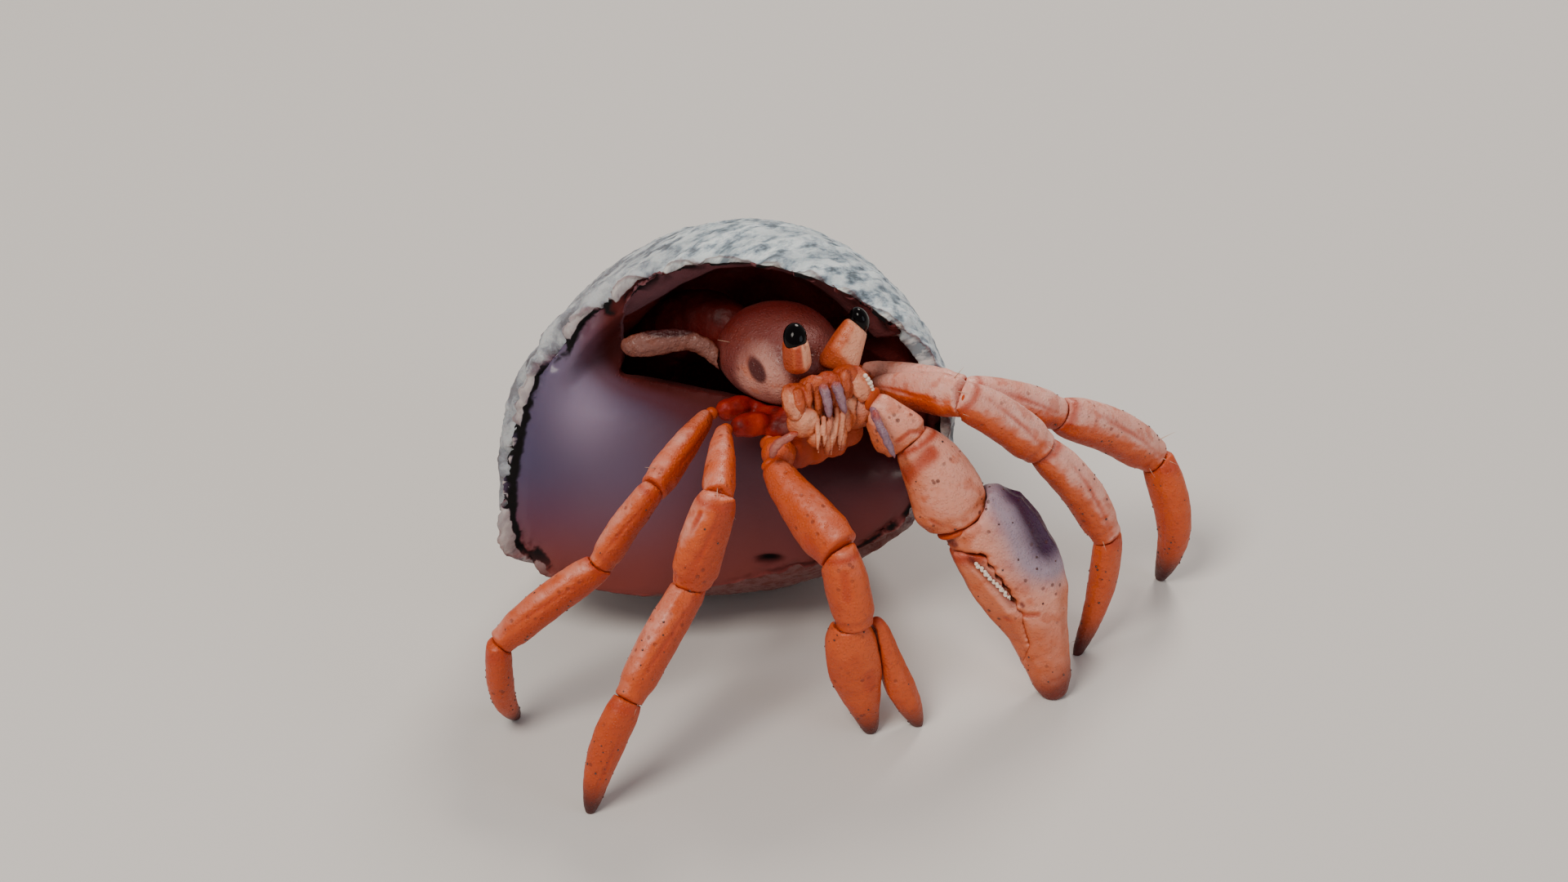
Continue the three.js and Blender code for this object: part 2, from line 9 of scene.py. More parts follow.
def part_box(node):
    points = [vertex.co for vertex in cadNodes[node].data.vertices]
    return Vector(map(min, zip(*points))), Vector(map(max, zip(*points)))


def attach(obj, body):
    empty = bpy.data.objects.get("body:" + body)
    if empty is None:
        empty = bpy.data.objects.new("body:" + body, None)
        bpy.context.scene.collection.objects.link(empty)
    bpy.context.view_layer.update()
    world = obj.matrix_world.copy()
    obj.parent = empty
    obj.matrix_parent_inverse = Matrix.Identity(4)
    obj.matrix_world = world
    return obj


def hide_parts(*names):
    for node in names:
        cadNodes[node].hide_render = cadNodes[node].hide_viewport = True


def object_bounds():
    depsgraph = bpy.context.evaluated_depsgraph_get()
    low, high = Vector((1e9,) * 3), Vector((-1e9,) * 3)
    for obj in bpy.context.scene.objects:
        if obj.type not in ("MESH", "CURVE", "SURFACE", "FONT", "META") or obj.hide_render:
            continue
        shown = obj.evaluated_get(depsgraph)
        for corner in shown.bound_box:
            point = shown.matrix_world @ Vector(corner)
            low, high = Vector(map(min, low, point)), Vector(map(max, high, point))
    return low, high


# A young land hermit crab in a worn nerite shell, a life-size still model.
# Meshes are shaped in millimetres and scaled down to metres when a piece is finished.

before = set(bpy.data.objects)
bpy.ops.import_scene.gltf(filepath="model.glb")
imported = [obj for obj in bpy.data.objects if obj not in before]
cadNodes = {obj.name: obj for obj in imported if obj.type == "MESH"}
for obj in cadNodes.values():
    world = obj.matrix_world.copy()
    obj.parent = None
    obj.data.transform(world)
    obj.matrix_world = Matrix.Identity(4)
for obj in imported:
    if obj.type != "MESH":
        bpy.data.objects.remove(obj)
cadLow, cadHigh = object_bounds()
mm = 0.001

legNames = ["right_front_leg", "right_rear_leg", "left_front_leg", "left_rear_leg"]
segmentNames = ["merus", "carpus", "propodus", "dactyl"]


# small tools

def srgb(hexText, alpha=1.0):
    values = [int(hexText[i:i + 2], 16) / 255 for i in (1, 3, 5)]
    linear = [v / 12.92 if v <= 0.04045 else ((v + 0.055) / 1.055) ** 2.4 for v in values]
    return (*linear, alpha)


def smoothStep(x, low, high):
    t = np.clip((x - low) / (high - low), 0, 1)
    return t * t * (3 - 2 * t)


def bell(x, middle, width):
    return np.exp(-((x - middle) / width) ** 2)


def noiseAt(points, size, seed=0.0, octaves=3):
    # smooth noise from -1 to 1, with features about size millimetres across
    shift = Vector((seed, seed * 1.7, -seed))
    return np.array([noise.fractal(Vector(p) / size + shift, 1.0, 2.0, octaves) for p in points])


def unit(v):
    v = np.asarray(v, float)
    return v / np.linalg.norm(v)


def awayFrom(points, middle):
    return np.linalg.norm(points - middle, axis=1)


def meshPoints(mesh):
    points = np.empty(len(mesh.vertices) * 3)
    mesh.vertices.foreach_get("co", points)
    return points.reshape(-1, 3)


def meshNormals(mesh):
    normals = np.empty(len(mesh.vertices) * 3)
    mesh.vertex_normals.foreach_get("vector", normals)
    return normals.reshape(-1, 3)


def setPoints(mesh, points):
    mesh.vertices.foreach_set("co", np.asarray(points, np.float32).ravel())
    mesh.update()


def lumpy(mesh, height, size, seed):
    # soft lumps; gives the points and normals from before
    points, normals = meshPoints(mesh), meshNormals(mesh)
    setPoints(mesh, points + normals * (height * noiseAt(points, size, seed))[:, None])
    return points, normals


def cadPoints(name):
    return meshPoints(cadNodes[name].data) / mm


def placeIn(name, share):
    # a point given by its shares of a CAD node's box, in millimetres
    low, high = (np.array(c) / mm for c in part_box(name))
    return low + (high - low) * np.array(share)


def edgeEnds(mesh):
    # both ends of every edge, and how many edges meet at each point
    edges = np.empty(len(mesh.edges) * 2, np.int64)
    mesh.edges.foreach_get("vertices", edges)
    return edges[0::2], edges[1::2], np.maximum(np.bincount(edges, minlength=len(mesh.vertices)), 1)


def neighbourMean(points, ends):
    a, b, degree = ends
    total = [np.bincount(a, points[b, k], len(points)) + np.bincount(b, points[a, k], len(points))
             for k in range(3)]
    return np.stack(total, axis=1) / degree[:, None]


def relax(mesh, rounds, firm=0.53, free=1.0):
    # smoothing: with firm just over a half the form keeps its size (Taubin), with 0 it shrinks a little;
    # free is how far each point may move
    points, ends = meshPoints(mesh), edgeEnds(mesh)
    for i in range(rounds * 2):
        step = (neighbourMean(points, ends) - points) * np.reshape(free, (-1, 1))
        points += step * (0.5 if i % 2 == 0 else -firm)
    setPoints(mesh, points)


def hollows(mesh, rounds=6):
    # how deep in a crease each point lies, from 0 to 1
    points, ends = meshPoints(mesh), edgeEnds(mesh)
    soft = points
    for i in range(rounds):
        soft = neighbourMean(soft, ends)
    sink = ((soft - points) * meshNormals(mesh)).sum(1)
    return np.clip(sink / (np.std(sink) * 2.5 + 1e-9), 0, 1)


def paint(mesh, **shares):
    # point attributes that the materials read, each as one value or one for every point
    for name, values in shares.items():
        layer = mesh.attributes.get(name) or mesh.attributes.new(name, "FLOAT", "POINT")
        spread = np.broadcast_to(np.asarray(values, np.float32), len(mesh.vertices))
        layer.data.foreach_set("value", np.ascontiguousarray(spread))


def writeDirection(mesh, name, direction):
    layer = mesh.attributes.new(name, "FLOAT_VECTOR", "POINT")
    layer.data.foreach_set("vector", np.tile(np.asarray(direction, np.float32), len(mesh.vertices)))


def meshFrom(bm, name):
    mesh = bpy.data.meshes.new(name)
    bm.to_mesh(mesh)
    bm.free()
    return mesh


def rowMesh(places, flow):
    # loose points for a row of copies that all point along flow
    mesh = bpy.data.meshes.new("row")
    mesh.from_pydata([tuple(p) for p in places], [], [])
    writeDirection(mesh, "flow", flow)
    return mesh


def inScene(name, data):
    made = bpy.data.objects.new(name, data)
    bpy.context.scene.collection.objects.link(made)
    return made


def evaluated(holder):
    mesh = bpy.data.meshes.new_from_object(holder.evaluated_get(bpy.context.evaluated_depsgraph_get()))
    bpy.data.objects.remove(holder)
    return mesh


def remeshed(bm, voxel, rounds, levels=0):
    # one closed, even mesh round everything in bm; levels rounds its facets off first
    source = meshFrom(bm, "source")
    holder = inScene("holder", source)
    if levels:
        holder.modifiers.new("Subdivision", "SUBSURF").levels = levels
    modifier = holder.modifiers.new("Remesh", "REMESH")
    modifier.mode = "VOXEL"
    modifier.voxel_size = voxel
    mesh = evaluated(holder)
    bpy.data.meshes.remove(source)
    relax(mesh, rounds)
    return mesh


rimAngle, rimCrease = 0.75, 0.8


def gathered(*names, grow=0.0):
    # the named CAD nodes as one welded bmesh, in millimetres
    bm = bmesh.new()
    for name in names:
        bm.from_mesh(cadNodes[name].data)
    bmesh.ops.transform(bm, matrix=Matrix.Scale(1 / mm, 4), verts=bm.verts)
    bmesh.ops.remove_doubles(bm, verts=bm.verts, dist=1e-4)
    bmesh.ops.join_triangles(bm, faces=bm.faces[:], angle_face_threshold=0.7, angle_shape_threshold=1.0)
    # rims stay crisp when the rest is subdivided
    crease = bm.edges.layers.float.new("crease_edge")
    for edge in bm.edges:
        if len(edge.link_faces) == 2 and edge.calc_face_angle(0) > rimAngle:
            edge[crease] = rimCrease
    if grow:
        bm.normal_update()
        moves = [v.normal * grow for v in bm.verts]
        for v, move in zip(bm.verts, moves):
            v.co += move
    return bm


def addBall(bm, centre, radii, turn=None, levels=2):
    matrix = Matrix.Translation(Vector(centre)) @ (turn or Matrix.Identity(4))
    matrix = matrix @ Matrix.Diagonal((*radii, 1))
    bmesh.ops.create_icosphere(bm, subdivisions=levels, radius=1, matrix=matrix)


def addRod(bm, points, radii, steps=12):
    # a smooth round rod through a few points, as overlapping balls for remeshing
    places = np.array(points, float)
    last = len(places) - 1
    for span in np.linspace(0, last, steps):
        centre = [np.interp(span, np.arange(last + 1), places[:, axis]) for axis in range(3)]
        radius = np.interp(span, np.linspace(0, last, len(radii)), radii)
        addBall(bm, centre, (radius,) * 3)


def drawRound(bm):
    # replace what is there by the convex skin drawn tight round it
    found = bmesh.ops.convex_hull(bm, input=bm.verts[:])
    spare = [g for g in found["geom_interior"] + found["geom_unused"] if isinstance(g, bmesh.types.BMVert)]
    bmesh.ops.delete(bm, geom=list(set(spare)), context="VERTS")
    loose = [f for f in bm.faces if f not in set(found["geom"])]
    bmesh.ops.delete(bm, geom=loose, context="FACES_ONLY")


def jointBetween(nameA, nameB, count=24):
    # middle of the narrow space between two neighbouring nodes, from their nearest points
    a, b = cadPoints(nameA), cadPoints(nameB)
    distance = np.linalg.norm(a[:, None] - b[None], axis=2)
    near = np.argsort(distance, axis=None)[:count]
    ia, ib = np.unravel_index(near, distance.shape)
    return (a[ia].mean(0) + b[ib].mean(0)) / 2


def turnTo(direction):
    # the turn that takes +Z to a direction
    return Vector(direction).to_track_quat("Z", "Y").to_matrix().to_4x4()


madePieces = []


def finishPiece(name, mesh, material, nodes=()):
    points = meshPoints(mesh)
    points[:, 2] = np.maximum(points[:, 2], 0)      # nothing goes below the floor
    setPoints(mesh, points * mm)
    mesh.materials.clear()
    mesh.materials.append(material)
    mesh.polygons.foreach_set("use_smooth", np.ones(len(mesh.polygons), bool))
    mesh.update()
    mesh.name = name
    piece = inScene(name, mesh)
    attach(piece, "root")
    if nodes:
        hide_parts(*nodes)
    madePieces.append(piece)


# node tools: short names for the nodes that come up most, with their inputs in order

shortKinds = {
    "mix": ("ShaderNodeMix", {"data_type": "RGBA"}, (0, 6, 7)),
    "ramp": ("ShaderNodeValToRGB", {}, (0,)),
    "plus": ("ShaderNodeMath", {"operation": "ADD"}, (0, 1)),
    "minus": ("ShaderNodeMath", {"operation": "SUBTRACT"}, (0, 1)),
    "times": ("ShaderNodeMath", {"operation": "MULTIPLY"}, (0, 1)),
    "larger": ("ShaderNodeMath", {"operation": "MAXIMUM"}, (0, 1)),
}
mainOutputs = {
    "ShaderNodeMix": 2, "ShaderNodeAttribute": 2, "ShaderNodeTexCoord": 3, "FunctionNodeRandomValue": 1,
}


def addNode(tree, kind, *given, stops=(), **settings):
    # given: values, colours, nodes or sockets, in order or in one dictionary; stops are a ramp's
    kind, fixed, order = shortKinds.get(kind, (kind, {}, ()))
    made = tree.nodes.new(kind)
    for key, value in {**fixed, **settings}.items():
        setattr(made, key, value)
    links = given[0] if given and isinstance(given[0], dict) else dict(zip(order, given))
    for key, value in links.items():
        if isinstance(value, bpy.types.Node):
            value = value.outputs[mainOutputs.get(value.bl_idname, 0)]
        if isinstance(value, bpy.types.NodeSocket):
            tree.links.new(value, made.inputs[key])
        else:
            isColour = isinstance(value, str) and value.startswith("#")
            made.inputs[key].default_value = srgb(value) if isColour else value
    if stops:
        made.color_ramp.interpolation = "EASE"
        elements = made.color_ramp.elements
        while len(elements) < len(stops):
            elements.new(0.5)
        for element, (place, colour) in zip(elements, stops):
            element.position = place
            element.color = srgb(colour) if isinstance(colour, str) else (colour, colour, colour, 1)
    return made


def newMaterial(name, attributes=()):
    # a material, the function that adds its nodes, and a node for each point attribute it reads
    material = bpy.data.materials.new(name)
    material.use_nodes = True
    material.node_tree.nodes.clear()
    add = partial(addNode, material.node_tree)
    return material, add, *(add("ShaderNodeAttribute", attribute_name=a) for a in attributes)


def objectPoint(add, size):
    # object coordinates in units of size millimetres
    return add("ShaderNodeMapping", {"Vector": add("ShaderNodeTexCoord"), "Scale": (1 / (size * mm),) * 3})


def cloudsOf(add, size, detail=3.0, rough=0.5):
    return add("ShaderNodeTexNoise", {"Vector": objectPoint(add, size), "Scale": 1.0,
                                      "Detail": detail, "Roughness": rough})


def dotsOf(add, size, radius):
    # round dots about size millimetres apart; radius is a share of that
    cells = add("ShaderNodeTexVoronoi", {"Vector": objectPoint(add, size), "Scale": 1.0, "Randomness": 1.0})
    return add("ramp", cells, stops=[(0.0, 1.0), (radius, 0.75), (radius * 1.6, 0.0)])


def finishMaterial(add, colour, roughness, height=None, depth=0.02, **values):
    # values are the shader's own sockets, always constants
    sockets = {"Base Color": colour, "Roughness": roughness}
    sockets.update({key.replace("_", " "): value for key, value in values.items()})
    if height is not None:
        sockets["Normal"] = add("ShaderNodeBump", {"Height": height, "Strength": 1.0, "Distance": depth * mm})
    add("ShaderNodeOutputMaterial", {"Surface": add("ShaderNodeBsdfPrincipled", sockets)})


# Crab cuticle: chitin stiffened with lime, thin and slightly see-through, waxed by the animal.
# Light sinks in a little and the sheen is broad.
cuticleValues = {
    "sheenRough": 0.44, "scatter": 0.1, "scatterDepth": 0.3,
    "cloudSize": 1.3, "fineSize": 0.22, "blotchSize": 0.75, "patchSize": 1.7,      # in millimetres
    "speckApart": 0.5, "speckSize": 0.14, "grainApart": 0.14, "grainSize": 0.3, "grainHeight": 0.02,
}


def cuticle(name, low, middle, high, ripe, tip, speck, joint, blush, speckShare=0.7, paintedShade=None):
    v = cuticleValues
    material, add, top, ripeHere, blushHere, jointHere, tipHere = newMaterial(
        name, ("top", "ripe", "blush", "joint", "tip"))
    fine = cloudsOf(add, v["fineSize"], 4.0, 0.6)
    cloud = add("times", add("minus", cloudsOf(add, v["cloudSize"]), 0.5), 0.6)
    # painted light: the ramp paints faces with a high top pale, as lit, and faces with a low top darker, as
    # shaded; the orange is also less deep under the painted highlight
    colour = add("ramp", add("plus", top, cloud, use_clamp=True),
                 stops=[(0.0, low), (0.45, middle), (0.95, high)])
    lower = add("minus", 1.0, add("times", top, 0.6), use_clamp=True)
    colour = add("mix", add("times", add("times", ripeHere, lower), 0.95), colour, ripe)
    colour = add("mix", add("times", fine, 0.25), colour, middle)
    blotch = add("ramp", cloudsOf(add, v["blotchSize"], 2.0), stops=[(0.52, 0.0), (0.66, 0.45)])
    colour = add("mix", blotch, colour, ripe)
    if paintedShade:          # the blush is pale at its edge and runs into a painted shade in its middle
        blush = add("ramp", blushHere, stops=[(0.5, blush), (0.93, paintedShade)])
        blushHere = add("ramp", blushHere, stops=[(0.05, 0.0), (0.5, 0.9), (0.9, 1.0)])
    colour = add("mix", blushHere, colour, blush)
    patches = add("ramp", cloudsOf(add, v["patchSize"]), stops=[(0.4, 0.0), (0.6, 1.0)])
    specks = add("times", dotsOf(add, v["speckApart"], v["speckSize"]), patches)
    colour = add("mix", add("times", specks, speckShare), colour, speck)
    colour = add("mix", jointHere, colour, joint)
    colour = add("mix", tipHere, colour, tip)
    grain = add("plus", dotsOf(add, v["grainApart"], v["grainSize"]), add("times", fine, 1.2))
    rough = add("ramp", fine, stops=[(0.3, v["sheenRough"] - 0.06), (0.75, v["sheenRough"] + 0.14)])
    finishMaterial(add, colour, rough, add("minus", grain, add("times", specks, 1.5)), v["grainHeight"],
                   IOR=1.5, Subsurface_Weight=v["scatter"], Subsurface_Scale=v["scatterDepth"] * mm,
                   Subsurface_Radius=(1.0, 0.3, 0.12))
    return material


# on legs, claws and face the high colour is the painted highlight on lit faces, and the low colour the
# painted shaded side
legCuticle = cuticle("leg cuticle", low="#A83200", middle="#D0561C", high="#F2B8A8", ripe="#BE4200",
                     tip="#400402", speck="#6A1E08", joint="#B43400", blush="#6E2A26")
# on the big claw the blush is a painted bluish-grey reflection, with painted shade deep in its middle
clawCuticle = cuticle("claw cuticle", low="#AE4614", middle="#D4724A", high="#ECA48E", ripe="#BE4C0C",
                      tip="#6A1404", speck="#4E1C12", joint="#B03400", blush="#98899A", speckShare=0.9,
                      paintedShade="#3C1238")
shieldCuticle = cuticle("shield cuticle", low="#8A3A2E", middle="#C28678", high="#DCAFA6", ripe="#C0581A",
                        tip="#62120E", speck="#8A4A40", joint="#3C0F0E", blush="#4A100E", speckShare=0.2)
faceCuticle = cuticle("face cuticle", low="#9C3404", middle="#CE6430", high="#ECA482", ripe="#A23602",
                      tip="#8E2418", speck="#7A2E16", joint="#A8340C", blush="#6E5F78", speckShare=0.3)


# Joint membrane: thin wet skin without lime, deep orange red, with a soft wet shine.
def membraneMaterial():
    material, add, fresh, blush = newMaterial("joint membrane", ("fresh", "blush"))
    colour = add("ramp", cloudsOf(add, 1.1), stops=[(0.3, "#5A0602"), (0.5, "#8A1002"), (0.7, "#A82606")])
    colour = add("mix", add("times", fresh, 0.8), colour, "#C24A0E")
    colour = add("mix", blush, colour, "#4A0C0A")
    finishMaterial(add, colour, 0.5, cloudsOf(add, 0.35, 4.0, 0.6), 0.06, IOR=1.36, Subsurface_Weight=0.1,
                   Subsurface_Scale=0.3 * mm, Subsurface_Radius=(1.0, 0.25, 0.1))
    return material


# Cornea: a smooth clear cuticle over black pigment, so it looks like black glass.
def corneaMaterial():
    material, add = newMaterial("cornea")
    facets = add("ShaderNodeTexVoronoi", {"Vector": objectPoint(add, 0.05), "Scale": 1.0})
    finishMaterial(add, "#030001", 0.08, facets, 0.0006, IOR=1.33, Specular_IOR_Level=0.3)
    return material


def plainMaterial(name, dark, pale, cloud, rough, **values):
    # two close colours in soft clouds, without relief
    material, add = newMaterial(name)
    finishMaterial(add, add("mix", cloudsOf(add, cloud), dark, pale), rough, **values)
    return material


membrane = membraneMaterial()
cornea = corneaMaterial()
# Seta: a stiff clear bristle, pale and shiny at this size.
seta = plainMaterial("seta", "#C08A64", "#EBD2BC", 0.8, 0.42, IOR=1.5)
# Horny speck: a grain of dark hardened chitin, as on the walking legs' points.
spine = plainMaterial("horny spine", "#2A0D08", "#5A2012", 0.6, 0.3, IOR=1.56, Coat_Weight=0.3)
# Claw enamel: white lime-hardened teeth and beads.
limeTooth = plainMaterial("lime tooth", "#EBCFBC", "#F6E8DA", 0.5, 0.35, IOR=1.6, Subsurface_Weight=0.1,
                          Subsurface_Scale=0.2 * mm)
print("materials ready")


# scattering: what repeats is put on by Geometry Nodes, then kept as mesh

shapeInputs = {
    "Geometry": "NodeSocketGeometry", "Shape": "NodeSocketObject", "Finish": "NodeSocketMaterial",
    "Smallest": "NodeSocketFloat", "Largest": "NodeSocketFloat", "Seed": "NodeSocketInt",
}


def newGroup(name, inputs):
    group = bpy.data.node_groups.new(name, "GeometryNodeTree")
    for label, kind in inputs.items():
        group.interface.new_socket(label, in_out="INPUT", socket_type=kind)
    group.interface.new_socket("Geometry", in_out="OUTPUT", socket_type="NodeSocketGeometry")
    add = partial(addNode, group)
    flow = add("GeometryNodeInputNamedAttribute", {"Name": "flow"}, data_type="FLOAT_VECTOR")
    return group, add, add("NodeGroupInput").outputs, flow


def placeShapes(add, given, points, aim):
    # the shared end of both groups: turned, sized copies, realized, in one material
    turn = add("FunctionNodeAlignRotationToVector", {"Vector": aim}, axis="Z")
    size = add("FunctionNodeRandomValue", {2: given["Smallest"], 3: given["Largest"], "Seed": given["Seed"]},
               data_type="FLOAT")
    shape = add("GeometryNodeObjectInfo", {"Object": given["Shape"]})
    copies = add("GeometryNodeInstanceOnPoints", {
        "Points": points, "Instance": shape.outputs["Geometry"], "Rotation": turn, "Scale": size})
    real = add("GeometryNodeRealizeInstances", {"Geometry": copies})
    add("NodeGroupOutput", {"Geometry": add("GeometryNodeSetMaterial", {"Geometry": real,
                                                                      "Material": given["Finish"]})})


def scatterGroup():
    # copies spread over a surface, as densely as its "where" says, leaning along its "flow"
    inputs = {**shapeInputs, "Density": "NodeSocketFloat", "Lean": "NodeSocketFloat"}
    group, add, given, flow = newGroup("scatter", inputs)
    where = add("GeometryNodeInputNamedAttribute", {"Name": "where"}, data_type="FLOAT")
    spread = add("GeometryNodeDistributePointsOnFaces", {
        "Mesh": given["Geometry"], "Density": add("times", where, given["Density"]), "Seed": given["Seed"]})
    lean = add("ShaderNodeVectorMath", {0: flow, "Scale": given["Lean"]}, operation="SCALE")
    aim = add("ShaderNodeVectorMath", {0: spread.outputs["Normal"], 1: lean}, operation="ADD")
    placeShapes(add, given, spread, aim)
    return group


def rowGroup():
    # one copy on each vertex, pointing along its "flow"
    group, add, given, flow = newGroup("row", shapeInputs)
    placeShapes(add, given, given["Geometry"], flow)
    return group


scatterNodes = scatterGroup()
rowNodes = rowGroup()


def grown(mesh, group, **values):
    # the copies alone, as a mesh; values are the group's own inputs
    holder = inScene("holder", mesh)
    modifier = holder.modifiers.new("Copies", "NODES")
    modifier.node_group = group
    for item in group.interface.items_tree:
        if item.in_out == "INPUT" and item.name in values:
            modifier[item.identifier] = values[item.name]
    return evaluated(holder)


# the small shapes that are copied, in millimetres: seta from a cone, bead and grain from balls
smallShapes = {
    "setaRadius": 0.022, "setaLength": 0.75, "setaTip": 0.15, "setaSides": 5,
    "beadRadii": (0.13, 0.13, 0.13), "grainRadii": (0.05, 0.05, 0.04),
}


def setaObject():
    v = smallShapes
    bm = bmesh.new()
    foot = Matrix.Translation((0, 0, v["setaLength"] / 2 - v["setaRadius"] * 0.3))
    bmesh.ops.create_cone(bm, cap_ends=True, segments=v["setaSides"], radius1=v["setaRadius"],
                          radius2=v["setaRadius"] * v["setaTip"], depth=v["setaLength"], matrix=foot)
    return bpy.data.objects.new("seta_shape", meshFrom(bm, "seta_shape"))


def ballObject(name, radii):
    bm = bmesh.new()
    addBall(bm, (0, 0, 0), radii)
    return bpy.data.objects.new(name, meshFrom(bm, name))


setaShape = setaObject()
beadShape = ballObject("bead_shape", smallShapes["beadRadii"])
grainShape = ballObject("grain_shape", smallShapes["grainRadii"])

# what grows on the pieces, collected as they are shaped
growths = {"setae": [], "specks": []}


def sow(kind, mesh, where, flow, seed, **values):
    # scatter one of the small shapes over a copy of a surface
    source = mesh.copy()
    paint(source, where=np.clip(where, 0, 1))
    writeDirection(source, "flow", flow)
    growths[kind].append(grown(source, scatterNodes, Seed=seed, Smallest=0.5, **values))


def sowSetae(mesh, where, flow, seed, density):
    sow("setae", mesh, where, flow, seed, Density=density, Lean=0.8, Shape=setaShape, Finish=seta,
        Largest=1.1)


def sowSpecks(mesh, where, seed, density):
    sow("specks", mesh, where, (0, 0, 0), seed, Density=density, Lean=0.0, Shape=grainShape, Finish=spine,
        Largest=1.2)


# marks: painted lines and patches between two shares of a node's own box, with reach and strength

marks = {
    "right_front_leg_carpus": [("joint", (0.45, 0.33, 0.87), (0.05, 0.18, 0.15), 0.13, 0.9)],
    "big_claw_merus": [("joint", (0.53, 0.02, 0.44), (0.76, 0.11, 0.60), 0.12, 0.9),
                       ("joint", (0.76, 0.11, 0.60), (0.98, 0.3, 0.5), 0.12, 0.8)],
    "big_claw_carpus": [("joint", (0.08, 0.40, 0.60), (0.36, 0.38, 0.87), 0.42, 1.0),
                        ("joint", (0.37, 0.05, 0.24), (0.8, 0.1, 0.1), 0.14, 0.7)],
    "big_claw_palm": [("tip", (0.04, 0.39, 0.80), (0.07, 0.36, 0.79), 0.22, 0.9),
                      ("joint", (0.03, 0.39, 0.86), (0.17, 0.40, 0.86), 0.2, 0.9),
                      ("joint", (0.6, 0.1, 0.47), (0.72, 0.1, 0.47), 0.13, 0.8),
                      ("tip", (0.59, 0.12, 0.53), (0.6, 0.12, 0.52), 0.1, 0.9),
                      ("ripe", (0.8, 0.05, 0.3), (0.92, 0.05, 0.05), 1.3, 1.0)],
    "big_claw_finger": [("joint", (0.70, 0.07, 0.47), (0.9, 0.1, 0.42), 0.13, 0.8),
                        ("ripe", (0.7, 0.1, 0.4), (0.9, 0.1, 0.0), 0.8, 0.9)],
    "small_claw_merus": [("joint", (0.45, 0.1, 0.4), (0.62, 0.1, 0.05), 0.45, 0.75)],
    "small_claw_carpus": [("joint", (0.41, 0.22, 0.78), (0.46, 0.10, 0.50), 0.22, 0.7)],
    "small_claw_palm": [("joint", (0.8, 0.09, 0.62), (0.8, 0.09, 0.5), 0.3, 0.6)],
}


def fromLine(points, start, end):
    # distance from a straight line piece
    span = end - start
    along = np.clip((points - start) @ span / (span @ span), 0, 1)
    return np.linalg.norm(points - start - along[:, None] * span, axis=1)


def marked(node, points, attribute):
    # how strongly a node's marks show at each point
    found = np.zeros(len(points))
    for kind, start, end, reach, strength in marks.get(node, []):
        if kind == attribute:
            away = fromLine(points, placeIn(node, start), placeIn(node, end))
            found = np.maximum(found, strength * np.exp(-(away / reach) ** 4))
    return found


# walking legs

limbValues = {
    "voxel": 0.065, "grow": 0.06, "smoothing": 4,
    "collarAt": 0.96, "collarHeight": 0.05, "waistAt": 0.87, "waistDepth": 0.03,
    "grooveDepth": 0.045, "grooveWidth": 0.13, "grooveSkew": 0.7,
    "lumps": 0.025, "lumpSize": 0.7,
    "tipFrom": 0.6, "tipTo": 0.95, "tipDark": 0.97, "dactylTop": 0.5, "jointDark": 0.75,
    "light": {"right": (-0.32, 0.0, 0.95), "left": (0.1, -0.2, 0.97)},
    "litFrom": {"right": (-0.1, 0.8), "left": (-0.3, 0.6)},
    "shine": {"right": 0.66, "left": 0.86},
    "specks": {"carpus": 0.5, "propodus": 1.6, "dactyl": 2.4}, "setae": 0.9,
}

# how ripe, or deep orange, each segment is at its start and at its end
ripeness = {"merus": (0.75, 0.2), "carpus": (0.0, 0.2), "propodus": (0.1, 0.6), "dactyl": (0.6, 1.0)}
# the left legs are less deep orange, which goes with their stronger painted highlight as a painted pink
# reflection
paler = {"left_front_leg": -0.15, "left_rear_leg": -0.15}

limbJoints = {}          # joint middles, used again by the membranes


def localFrame(points, start, end):
    # along from 0 to 1, and the angle round the axis from the upper side
    axis = unit(end - start)
    length = np.linalg.norm(end - start)
    along = (points - start) @ axis / length
    upSide = unit(np.array([0, 0, 1.0]) - axis * axis[2])
    front = np.cross(axis, upSide)
    centre = start + np.clip(along, 0, 1)[:, None] * (end - start)
    off = points - centre
    # the axis follows the segment's own bend: the mean of nearby points
    bins = np.clip((along * 12).astype(int), 0, 11)
    for b in range(12):
        mask = bins == b
        if mask.any():
            off[mask] -= off[mask].mean(0) * 0.8
    return along, np.arctan2(off @ front, off @ upSide)


